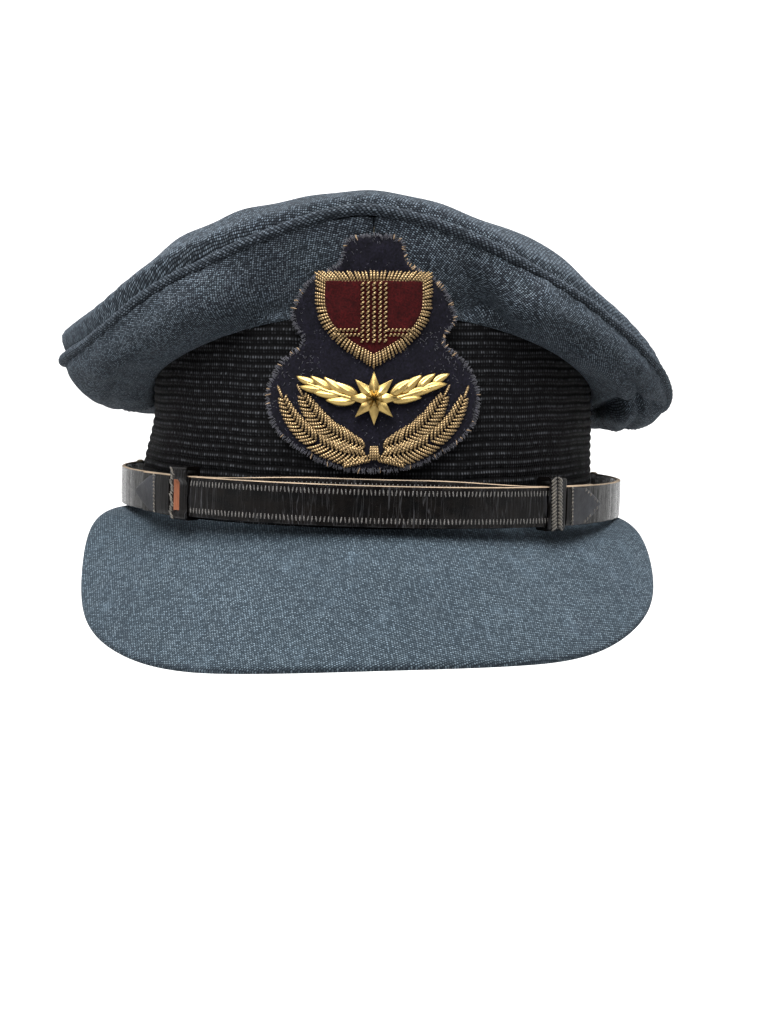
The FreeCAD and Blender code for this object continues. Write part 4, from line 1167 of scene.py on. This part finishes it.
def make_keeper(side):
    """A leather loop, its thread edge and its pointed tab, which all ride on the keeper's body.
    The left loop shows the raw edge in its opening; the right one is bound with two twisted cords."""
    name = "right" if side > 0 else "left"
    body = f"keeper_{name}"
    start = KEEPER_START[name]
    outer_loop = rounded_loop(88.45, 95.1, -1.35, 16.45, 1.3)
    inner_loop = rounded_loop(89.5, 93.95, -0.3, 15.4, 0.5)
    angles = np.radians(np.linspace(start + 0.1, start + KEEPER_LOOP - 0.1, 33))
    outer, inner = [], []
    for po, pi in zip(outer_loop, inner_loop):
        row_o, row_i = [], []
        for n, a in enumerate(angles):
            part = n / (len(angles) - 1)
            rim = 0.25 * (abs(2 * part - 1) ** 6) - 0.1 * math.sin(part * math.pi)
            hollow = 0.75 * float(smooth((0.68 - part) / 0.1)) if side < 0 and 1.5 < po[1] < 12.0 else 0.0
            row_o.append(strap_point(po[0] - rim - hollow * (po[0] > 92.0), a * side, po[1]))
            row_i.append(strap_point(pi[0], a * side, pi[1]))
        outer.append(row_o)
        inner.append(row_i)
    outer, inner = np.array(outer), np.array(inner)
    uv = length_uv(outer, True)[..., ::-1].copy()

    def raw(i, j):
        return ((j >= 14) & (j < 22) & (i >= 25) & (i <= 34) & (side < 0)).astype(int)

    loop = shell(
        f"keeper_loop_{name}", outer, inner, uv, [PATENT, RAW_STRIP], round_u=True, paint=raw, sharp=50.0
    )
    piece(loop, body, "patent_leather", f"keeper_{name}")

    threads = Bundle()

    def out_at(a):
        return strap_point(91.0, a * side, 6.6) - strap_point(90.0, a * side, 6.6)

    def stitch(degrees, height, rise, slant, radius, lift):
        """One stitch up the strap, leaning by slant degrees and standing out by lift."""
        spots = [(-1, 0.0, THREAD_RADIUS), (0, 0.5, THREAD_RADIUS + lift), (1, 1.0, THREAD_RADIUS)]
        path = [
            strap_point(r, math.radians(degrees + slant * k / 2) * side, height + rise * part)
            for k, part, r in spots
        ]
        threads.tube(path, radius, 6, 0.8, out=out_at(math.radians(degrees)))

    if side > 0:
        for column, slant in ((0.95, 1.25), (2.75, -1.25)):
            for h in np.arange(-1.1, 15.0, 1.15):
                drift = 0.035 * (7.0 - h)
                stitch(start + column + drift, h, 1.5, slant, 0.5, 0.2)
    else:
        for h in np.arange(-0.9, 15.4, 0.8):
            sway = 0.25 * math.sin(h * 1.3) + 0.12 * math.sin(h * 3.1)
            stitch(start + 3.95 + sway, h, 0.9, 0.7, 0.36, 0.2)
    for h in np.arange(0.4, 13.0, 1.2):
        stitch(KEEPER_SEAM[name] - 0.03 * side * h, h, 0.85, 0.25, 0.34, 0.2)
    if side > 0:
        for part in (0.0, 0.16, 0.32, 0.62, 0.8):
            for edge in (-1, 1):
                degrees = start + 11.2 + part * 6.0
                stitch(degrees, 6.65 + edge * 5.3 * (1 - part) - 0.5, 1.0, 0.3, 0.2, 0.15)
    piece(threads.build(f"keeper_braid_{name}", CORD_THREAD), body, "patent_leather")

    first, tip = start + KEEPER_LOOP + 0.1, start + KEEPER_LOOP + KEEPER_TAB - 0.1
    angles = np.linspace(first, tip, 46)
    outer, inner = [], []
    for degrees in angles:
        full = 6.35 * (1.0 - 0.06 * float(smooth((degrees - first - 3.4) / 3.0)))
        half = full * float(np.clip((tip + 0.05 - degrees) / 6.6, 0.02, 1.0)) ** 0.85
        a = math.radians(degrees) * side
        heights = np.linspace(-1, 1, 25)
        outer.append([strap_point(95.12 - 0.32 * abs(h) ** 6, a, 6.65 + h * half) for h in heights])
        inner.append([strap_point(93.95, a, 6.65 + h * half) for h in heights])
    outer, inner = np.array(outer), np.array(inner)
    seam_row = int((KEEPER_SEAM[name] - first) / (tip - first) * 45)

    def dull(i, j):
        return (i >= seam_row).astype(int)

    tab = shell(
        f"keeper_point_{name}", outer, inner, length_uv(outer), [PATENT, TAB_HIDE], paint=dull, sharp=50.0
    )
    piece(tab, body, "patent_leather", f"keeper_tab_{name}")


# ---------------------------------------------------------------- badge

STAND = 1.5
PATCH_TOP = STAND + 2.2
PATCH_MIDDLE = np.array([0.0, 58.0])
STAR_HEIGHT = 44.0


def closed_curve(points, count):
    """A smooth closed line through points, evenly spaced."""
    points = np.asarray(points, dtype=float)
    n = len(points)
    fine = []
    for i in range(n):
        a, b, c, d = points[(i - 1) % n], points[i], points[(i + 1) % n], points[(i + 2) % n]
        for t in np.linspace(0, 1, 30, endpoint=False):
            fine.append(
                0.5 * (2 * b + (c - a) * t + (2 * a - 5 * b + 4 * c - d) * t**2 + (3 * (b - c) + d - a) * t**3)
            )
    return even_spacing(np.array(fine), count)


def even_spacing(line, count):
    """Evenly spaced points on a closed line."""
    line = np.vstack([line, line[:1]])
    run = np.concatenate([[0], np.cumsum(np.linalg.norm(np.diff(line, axis=0), axis=1))])
    at = np.linspace(0, run[-1], count, endpoint=False)
    return np.stack([np.interp(at, run, line[:, k]) for k in range(line.shape[1])], -1)


def on_front(points, standoff):
    points = np.asarray(points, dtype=float)
    return front_surface(points[..., 0], points[..., 1], standoff)


def slab(name, outline, centre, low, high, material, rings=26, edge=0.8, relief=None, seed=81):
    """A padded flat piece on the front of the cap, with a rolled edge."""
    outline = np.asarray(outline)
    centre = np.asarray(centre, dtype=float)
    n = len(outline)
    reach = np.linspace(0.03, 1.0, rings)
    flat = centre + (outline[:, None] - centre) * reach[None, :, None]
    distance = np.linalg.norm(outline[:, None] - flat, axis=-1)
    roll = np.sqrt(np.clip(1 - (1 - np.clip(distance / edge, 0, 1)) ** 2, 0, 1))
    body = on_front(flat, 0.0)
    height = low + (high - low) * (0.25 + 0.75 * roll)
    height = height + 0.12 * wander(body, 7.0, seed) * roll
    if relief is not None:
        height = height + relief(flat[..., 0], flat[..., 1]) * roll
    outer = front_surface(flat[..., 0], flat[..., 1], height)
    inner = front_surface(flat[..., 0], flat[..., 1], low + 0.0 * height)
    faces, uvs = [], []
    vertices = np.concatenate([outer.reshape(-1, 3), inner.reshape(-1, 3)])
    back = n * rings
    for i in range(n):
        j = (i + 1) % n
        for r in range(rings - 1):
            quad = [i * rings + r, j * rings + r, j * rings + r + 1, i * rings + r + 1]
            faces.append(quad[::-1])
            faces.append([q + back for q in quad])
        a, b = i * rings + rings - 1, j * rings + rings - 1
        faces.append([a, a + back, b + back, b][::-1])
    faces.append([i * rings for i in range(n)])
    faces.append([i * rings + back for i in range(n)][::-1])
    plan = np.concatenate([flat.reshape(-1, 2)] * 2)
    for face in faces:
        uvs += [tuple(plan[q]) for q in face]
    return make_object(name, vertices, faces, np.array(uvs) * MM, [material], None, 70.0)


def mirrored(points):
    return points + [(-x, z) for x, z in reversed(points) if x > 0]


def shield_outline(half_width, top, bottom, shoulder):
    sides = []
    for part in np.linspace(0, 1, 14):
        sides.append((half_width * (1 - part**2.2), shoulder - (shoulder - bottom) * part))
    return mirrored([(0.0, top), (half_width * 0.5, top), (half_width, top)] + sides)


def strand(bundle, start, end, base, arch=0.5, radius=0.42, count=7, bow=0.0, index=0):
    """A bullion strand from start to end in the badge plane, arched off the cloth."""
    start, end = np.asarray(start, dtype=float), np.asarray(end, dtype=float)
    along = end - start
    side = np.array([-along[1], along[0]])
    t = np.linspace(0, 1, count)
    flat = start + along * t[:, None] + side * (bow * np.sin(t * math.pi))[:, None]
    height = base + radius * 0.6 + arch * np.sin(t * math.pi)
    path = front_surface(flat[:, 0], flat[:, 1], height)
    bundle.tube(path, radius, 7, 0.9, index=index)


def make_patch():
    half = [
        (0.0, 94.5),
        (8.5, 93.0),
        (11.0, 86.0),
        (21.0, 80.0),
        (26.0, 70.0),
        (22.5, 62.0),
        (30.0, 55.0),
        (34.0, 45.0),
        (31.0, 34.0),
        (20.0, 25.5),
        (9.0, 21.5),
        (0.0, 20.8),
    ]
    outline = closed_curve(mirrored(half), 420)
    rng = np.random.default_rng(91)
    outward = np.roll(outline, -1, 0) - np.roll(outline, 1, 0)
    outward = np.stack([-outward[:, 1], outward[:, 0]], -1)
    outward /= np.linalg.norm(outward, axis=1, keepdims=True)
    if (outward[0] @ (outline[0] - PATCH_MIDDLE)) < 0:
        outward = -outward
    fray = 0.3 * np.sin(np.arange(420) * 0.9) + 0.25 * rng.uniform(-1, 1, 420)
    fray += 0.35 * np.sin(np.arange(420) * 0.17 + 1.0)
    outline = outline + outward * fray[:, None] * 0.6
    welt = lambda x, z: 0.45 * hump(np.hypot(x, z - 70.0), 19.0, 5.0) + 0.35 * hump(z, 40.0, 12.0)
    patch = slab("badge_patch_felt", outline, PATCH_MIDDLE, 0.9, PATCH_TOP - 0.3, FELT, 40, 1.4, welt)
    piece(patch, "cap", "navy_felt", "badge_patch")

    fuzz = Bundle()
    edge = closed_curve(mirrored(half), 620)
    for k in range(620):
        p = edge[k]
        tangent = edge[(k + 1) % 620] - edge[k - 1]
        tangent /= np.linalg.norm(tangent)
        normal = np.array([-tangent[1], tangent[0]])
        if normal @ (p - PATCH_MIDDLE) < 0:
            normal = -normal
        lean = tangent * rng.uniform(-0.9, 0.9)
        inside = p - normal * rng.uniform(0.5, 1.6)
        outside = p + normal * rng.uniform(0.15, 0.8) + lean
        light = rng.uniform() < 0.05 or (p[0] > 20 and 55 < p[1] < 85 and rng.uniform() < 0.22)
        light = light or (6 < p[0] < 14 and p[1] > 84 and rng.uniform() < 0.3)
        base = PATCH_TOP - 0.7 + 0.4 * rng.uniform()
        strand(fuzz, inside, outside, base, 0.3, 0.17, 4, index=int(light))
    for _ in range(900):
        angle, reach = rng.uniform(0, TURN), math.sqrt(rng.uniform())
        k = int(angle / TURN * 620)
        p = PATCH_MIDDLE + (edge[k] - PATCH_MIDDLE) * reach * 0.97
        turn = rng.uniform(0, TURN)
        half_run = 0.5 * rng.uniform(0.5, 1.2) * np.array([math.cos(turn), math.sin(turn)])
        strand(fuzz, p - half_run, p + half_run, PATCH_TOP - 0.25, 0.25, 0.09, 4)
    piece(fuzz.build("badge_patch_fuzz", NAVY_THREAD, TAN_THREAD), "cap", "navy_felt")


def make_shield():
    base = PATCH_TOP + 0.1
    velvet_line = even_spacing(np.array(shield_outline(16.0, 81.0, 57.0, 75.0)), 160)

    def puff(x, z):
        high = hump(z, 70.0, 8.0)
        return 0.5 * hump(x, -9.0, 5.0) * high + 0.5 * hump(x, 9.0, 5.0) * high

    velvet = slab(
        "badge_shield_cloth", velvet_line, (0.0, 70.0), base - 0.3, base + 1.3, VELVET, 22, 1.4, puff, 83
    )
    piece(velvet, "cap", "red_velvet", "badge_shield_velvet")

    border = Bundle()
    inner = even_spacing(np.array(shield_outline(14.6, 79.8, 58.7, 74.8)), 92)
    outer = even_spacing(np.array(shield_outline(18.4, 83.4, 53.4, 75.0)), 92)
    rng = np.random.default_rng(95)
    for a, b in zip(inner, outer):
        strand(border, a, b + rng.uniform(-0.25, 0.25, 2), base + 0.2, 0.75, 0.43, 8)
    for x in (-3.6, -1.9, 0.0, 1.9, 3.6):
        radius = 0.62 if x == 0 else 0.5
        for start in np.arange(61.5, 79.0, 1.45):
            skew = 0.55 if abs(x) == 1.9 else -0.4
            end = (x + 0.5, start + 1.1 + skew * 0.3)
            strand(border, (x - 0.5, start), end, base + 1.5, 0.25, radius * 0.75, 5)
    for row, z in enumerate((63.4, 64.9)):
        for x in np.arange(-12.3 + row * 0.5, 12.4, 1.25):
            if abs(x) > 4.4:
                strand(border, (x - 0.45, z), (x + 0.45, z + 0.9), base + 1.35, 0.3, 0.36, 5)
    piece(border.build("badge_shield_bullion", BULLION), "cap", "bullion", "badge_shield_border")


def spray(bundle, side, stem, width, tip_width, count, rng):
    """One herringbone spray: strands slanting off both sides of a curved stem."""
    stem = np.asarray(stem, dtype=float)
    base = PATCH_TOP + 0.1
    run = np.concatenate([[0], np.cumsum(np.linalg.norm(np.diff(stem, axis=0), axis=1))])
    fine = np.linspace(0, run[-1], 80)
    line = np.stack([np.interp(fine, run, stem[:, k]) for k in range(2)], -1)
    padded = np.pad(line, ((7, 7), (0, 0)), mode="edge")
    line = np.stack([np.convolve(padded[:, k], np.ones(15) / 15, "valid") for k in range(2)], -1)
    for k in range(count):
        t = (k + 0.5) / count
        index = int(t * 76)
        p = line[index]
        ahead = line[min(index + 3, 79)] - p
        ahead /= max(np.linalg.norm(ahead), 1e-6)
        normal = np.array([-ahead[1], ahead[0]])
        reach = (width * (1 - t) + tip_width * t) * (1.0 - 0.55 * t**5) * min(1.0, 0.55 + t * 3)
        for which in (-1, 1):
            end = p + normal * which * reach + ahead * reach * 0.95
            start = p + ahead * rng.uniform(-0.1, 0.1)
            ends = [start, end + rng.uniform(-0.12, 0.12, 2)]
            ends = [np.array([e[0] * side, e[1]]) for e in ends]
            strand(bundle, ends[0], ends[1], base, 0.55, 0.44, 7, 0.06 * which * side)
    tip = line[-1]
    ahead = line[-1] - line[-6]
    ahead /= max(np.linalg.norm(ahead), 1e-6)
    ends = [np.array([e[0] * side, e[1]]) for e in (tip - ahead * 0.5, tip + ahead * tip_width * 1.3)]
    strand(bundle, ends[0], ends[1], base, 0.4, 0.44)


def make_wreath():
    rng = np.random.default_rng(97)
    outer_stem = [(1.5, 25.6), (8.6, 26.2), (16.2, 29.0), (22.6, 33.6), (27.0, 39.2), (29.5, 45.6)]
    inner_stem = [(2.2, 28.6), (7.6, 30.0), (13.4, 33.2), (17.8, 37.4), (21.0, 42.0), (22.8, 45.6)]
    for side, name in ((-1, "left"), (1, "right")):
        leaves = Bundle()
        spray(leaves, side, outer_stem, 3.7, 2.7, 25, rng)
        spray(leaves, side, inner_stem, 3.7, 3.0, 20, rng)
        wreath = leaves.build(f"badge_wreath_strands_{name}", BULLION)
        piece(wreath, "cap", "bullion", f"badge_wreath_{name}")
    tie = Bundle()
    base = PATCH_TOP + 0.4
    for x in np.linspace(-1.2, 1.2, 4):
        strand(tie, (x, 24.6), (x * 0.8, 29.0), base + 0.9, 0.5, 0.45)
    for side in (-1, 1):
        for k in range(9):
            p = np.array([1.0 + k * 0.95, 25.3 - k * 0.22])
            for which in (-1, 1):
                end = p + np.array([0.9, 1.15 * which - 0.25])
                strand(tie, (p[0] * side, p[1]), (end[0] * side, end[1]), base, 0.3, 0.36, 5)
    piece(tie.build("badge_tie_strands", BULLION), "cap", "bullion", "badge_tie")


def make_star():
    """A plain eight-pointed star between two laurel sprigs, in stamped gilt metal."""
    base = PATCH_TOP + 1.5
    points = []
    for k in range(16):
        radius = 4.4 if k % 2 else 8.6
        a = math.pi * k / 8
        points.append((radius * math.sin(a), STAR_HEIGHT + radius * math.cos(a)))
    outline = even_spacing(np.array(points), 240)

    def facets(x, z):
        a = np.arctan2(x, z - STAR_HEIGHT)
        ridge = np.abs(((a / (math.pi / 8)) % 2) - 1.0)
        dome = np.clip(1 - np.hypot(x, z - STAR_HEIGHT) / 8.0, 0, 1)
        boss = 0.9 * np.sqrt(np.clip(1 - (np.hypot(x, z - STAR_HEIGHT) / 2.4) ** 2, 0, 1))
        return 1.3 * dome * ridge**0.8 + 0.35 * dome + boss

    star = slab("badge_star_gilt", outline, (0.0, STAR_HEIGHT), base, base + 0.7, GILT, 46, 0.35, facets, 99)
    piece(star, "cap", "gilt", "badge_star")

    vertices, faces, uvs = [], [], []

    def leaf(root, angle, length, width, lift):
        """A pointed, ribbed leaf."""
        nu, nv = 15, 9
        start = len(vertices)
        along = np.array([math.cos(angle), math.sin(angle)])
        side = np.array([-along[1], along[0]])
        for layer in (0, 1):
            for i in range(nu):
                t = i / (nu - 1)
                half = width * math.sin(math.pi * min(t**0.75, 1.0)) ** 0.8 * 0.5 + 0.06
                for j in range(nv):
                    v = 2 * j / (nv - 1) - 1
                    p = root + along * length * t + side * half * v + side * 0.5 * math.sin(t * 2.2)
                    vein = 0.14 * math.cos(v * 3 * math.pi) * math.sin(math.pi * t)
                    height = lift + 0.75 * (1 - v * v) * math.sin(math.pi * t) ** 0.5 + vein
                    if layer:
                        height = lift - 0.35
                    q = front_surface(np.array(p[0]), np.array(p[1]), height)
                    vertices.append(q)
        for i in range(nu - 1):
            for j in range(nv - 1):
                a = start + i * nv + j
                quad = [a, a + nv, a + nv + 1, a + 1]
                faces.append(quad)
                faces.append([q + nu * nv for q in quad][::-1])
        rim = [i * nv for i in range(nu)] + [(nu - 1) * nv + j for j in range(1, nv)]
        rim += [i * nv + nv - 1 for i in range(nu - 2, -1, -1)] + list(range(nv - 2, 0, -1))
        for a, b in zip(rim, rim[1:] + rim[:1]):
            faces.append([start + b, start + a, start + a + nu * nv, start + b + nu * nv])

    for side in (-1, 1):
        for k, (x, z, length, width, turn) in enumerate(
            [
                (5.0, 44.6, 9.0, 3.4, 34),
                (5.6, 43.2, 9.6, 3.2, 4),
                (9.0, 45.6, 8.4, 3.2, 40),
                (10.4, 45.2, 9.0, 3.0, 8),
                (13.6, 47.0, 7.6, 2.9, 36),
                (15.2, 46.8, 8.4, 2.8, 10),
                (18.4, 48.6, 6.6, 2.5, 26),
            ]
        ):
            angle = math.radians(turn)
            if side < 0:
                angle = math.pi - angle
            leaf(np.array([x * side, z]), angle, length, width, base - 0.1 + 0.12 * (k % 2))
    for face in faces:
        uvs += [(float(vertices[q][0]), float(vertices[q][2])) for q in face]
    sprigs = make_object("badge_laurel_gilt", vertices, faces, np.array(uvs) * MM, [GILT], None, 60.0)
    fix_normals(sprigs)
    piece(sprigs, "cap", "gilt")
    stems = Bundle()
    for side in (-1, 1):
        path = np.array([(3.0 * side, 42.8), (9.0 * side, 44.6), (15.0 * side, 46.4), (21.0 * side, 48.8)])
        stems.tube(front_surface(path[:, 0], path[:, 1], base + 0.5), 0.5, 8, 0.8)
    piece(stems.build("badge_laurel_stems", GILT), "cap", "gilt")


def fix_normals(obj):
    work = bmesh.new()
    work.from_mesh(obj.data)
    bmesh.ops.recalc_face_normals(work, faces=work.faces)
    work.to_mesh(obj.data)
    work.free()


# ---------------------------------------------------------------- kept CAD parts


def dress_cad():
    materials = {
        "front_stay": STEEL,
        "sweatband_reed": TAN,
        "peak_core": BOARD,
        "eyelet_left": BRASS,
        "eyelet_right": BRASS,
        "button_left": GILT,
        "button_right": GILT,
        "button_shank_left": GILT,
        "button_shank_right": GILT,
        "split_pin_left": STEEL,
        "split_pin_right": STEEL,
    }
    for name, material in materials.items():
        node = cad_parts[name]
        node = bpy.data.objects[name] if not isinstance(node, bpy.types.Object) else node
        slots = node.material_slots
        if not slots:
            node.data.materials.append(material)
        for slot in slots:
            slot.material = material


# ---------------------------------------------------------------- stage, light, camera


def make_stage():
    size, floor = 4.0, -0.62
    profile = []
    for k in range(40):
        profile.append((-size + k * (size + 1.6) / 39, floor))
    for a in np.radians(np.linspace(0, 90, 16)[1:]):
        profile.append((1.6 + 1.2 * math.sin(a), floor + 1.2 - 1.2 * math.cos(a)))
    profile.append((2.8, 3.0))
    vertices, faces = [], []
    for x in np.linspace(-size, size, 3):
        vertices += [(x, y, z) for y, z in profile]
    n = len(profile)
    for i in range(2):
        for j in range(n - 1):
            a = i * n + j
            faces.append([a, a + n, a + n + 1, a + 1])
    mesh = bpy.data.meshes.new("backdrop")
    mesh.from_pydata(vertices, [], faces)
    mesh.polygons.foreach_set("use_smooth", np.ones(len(mesh.polygons), dtype=bool))
    backdrop = bpy.data.objects.new("backdrop", mesh)
    bpy.context.scene.collection.objects.link(backdrop)
    s = Shader("backdrop_paper", 0.9, Specular_IOR_Level=0.1)
    # Painted shade: the floor is painted grey within about a metre of the cap and white beyond, which darkens
    # it under the cap and cuts the light it bounces onto the cap's underside.
    reach = s.node("ShaderNodeVectorMath", {0: s.place()}, operation="LENGTH").outputs["Value"]
    grain = s.remap(s.noise(s.place(), 40.0, 4.0), 0.3, 0.7)
    near, far = s.mix(grain, (0.40,) * 3, (0.42,) * 3), s.mix(grain, (0.86,) * 3, (0.88,) * 3)
    s.colour(s.mix(s.remap(reach, 0.85, 1.15), near, far))
    mesh.materials.append(s.material)


def softbox(name, place, aim, size, power, colour=(1.0, 1.0, 1.0)):
    data = bpy.data.lights.new(name, "AREA")
    data.shape = "RECTANGLE"
    data.size, data.size_y = size
    data.energy = power
    data.color = colour
    lamp = bpy.data.objects.new(name, data)
    lamp.location = place
    lamp.rotation_euler = (Vector(aim) - Vector(place)).to_track_quat("-Z", "Y").to_euler()
    bpy.context.scene.collection.objects.link(lamp)


def make_light():
    world = bpy.data.worlds.new("studio")
    world.use_nodes = True
    tree = world.node_tree
    background = tree.nodes["Background"]
    background.inputs["Strength"].default_value = 1.0

    def node(kind, values, **props):
        made = tree.nodes.new(kind)
        for key, value in props.items():
            setattr(made, key, value)
        for key, value in values.items():
            if isinstance(value, bpy.types.NodeSocket):
                tree.links.new(value, made.inputs[key])
            else:
                made.inputs[key].default_value = value
        return made.outputs

    direction = node("ShaderNodeTexCoord", {})["Generated"]
    axes = node("ShaderNodeSeparateXYZ", {0: direction})
    sideways = node("ShaderNodeMath", {0: axes[0]}, operation="ABSOLUTE")[0]
    side_light = node("ShaderNodeMapRange", {0: sideways, 1: 0.35, 2: 0.85, 3: 0.0, 4: 0.5})[0]
    back_light = node("ShaderNodeMapRange", {0: axes[1], 1: 0.0, 2: 0.7, 3: 0.0, 4: 0.45})[0]
    top_light = node("ShaderNodeMapRange", {0: axes[2], 1: 0.25, 2: 0.9, 3: 0.14, 4: 1.1})[0]
    total = node("ShaderNodeMath", {0: side_light, 1: top_light}, operation="ADD")[0]
    total = node("ShaderNodeMath", {0: total, 1: back_light}, operation="ADD")[0]
    tree.links.new(total, background.inputs["Color"])
    bpy.context.scene.world = world
    softbox("overhead", (0.0, -0.48, 1.0), (0.0, -0.05, 0.05), (1.0, 0.8), 35.0)
    softbox("wall_wash", (0.0, 0.9, 1.7), (0.0, 2.6, 0.1), (2.6, 0.6), 42.0)
    softbox("floor_wash", (0.0, 0.7, 1.2), (0.0, 1.5, -0.62), (2.0, 0.4), 9.0)
    softbox("front_fill", (-0.35, -1.1, 0.9), (0.0, 0.0, 0.03), (0.6, 0.5), 18.0)
    scene = bpy.context.scene
    scene.view_settings.view_transform = "Standard"
    scene.view_settings.look = "None"


def make_camera():
    data = bpy.data.cameras.new("camera")
    data.lens = 53.8
    data.sensor_width = 36.0
    data.clip_start, data.clip_end = 0.01, 20.0
    camera = bpy.data.objects.new("camera", data)
    camera.location = (-0.0120, -0.5919, 0.035)
    yaw, pitch = math.radians(1.8), math.radians(3.18)
    heading = Vector((math.sin(yaw) * math.cos(pitch), math.cos(yaw) * math.cos(pitch), -math.sin(pitch)))
    camera.rotation_euler = heading.to_track_quat("-Z", "Y").to_euler()
    bpy.context.scene.collection.objects.link(camera)
    bpy.context.scene.camera = camera


make_camera()
make_crown()
make_quarters()
make_canvas()
make_welt()
make_band()
make_lining()
make_peak()
make_straps()
make_keeper(-1)
make_keeper(1)
make_patch()
make_shield()
make_wreath()
make_star()
dress_cad()
make_stage()
make_light()
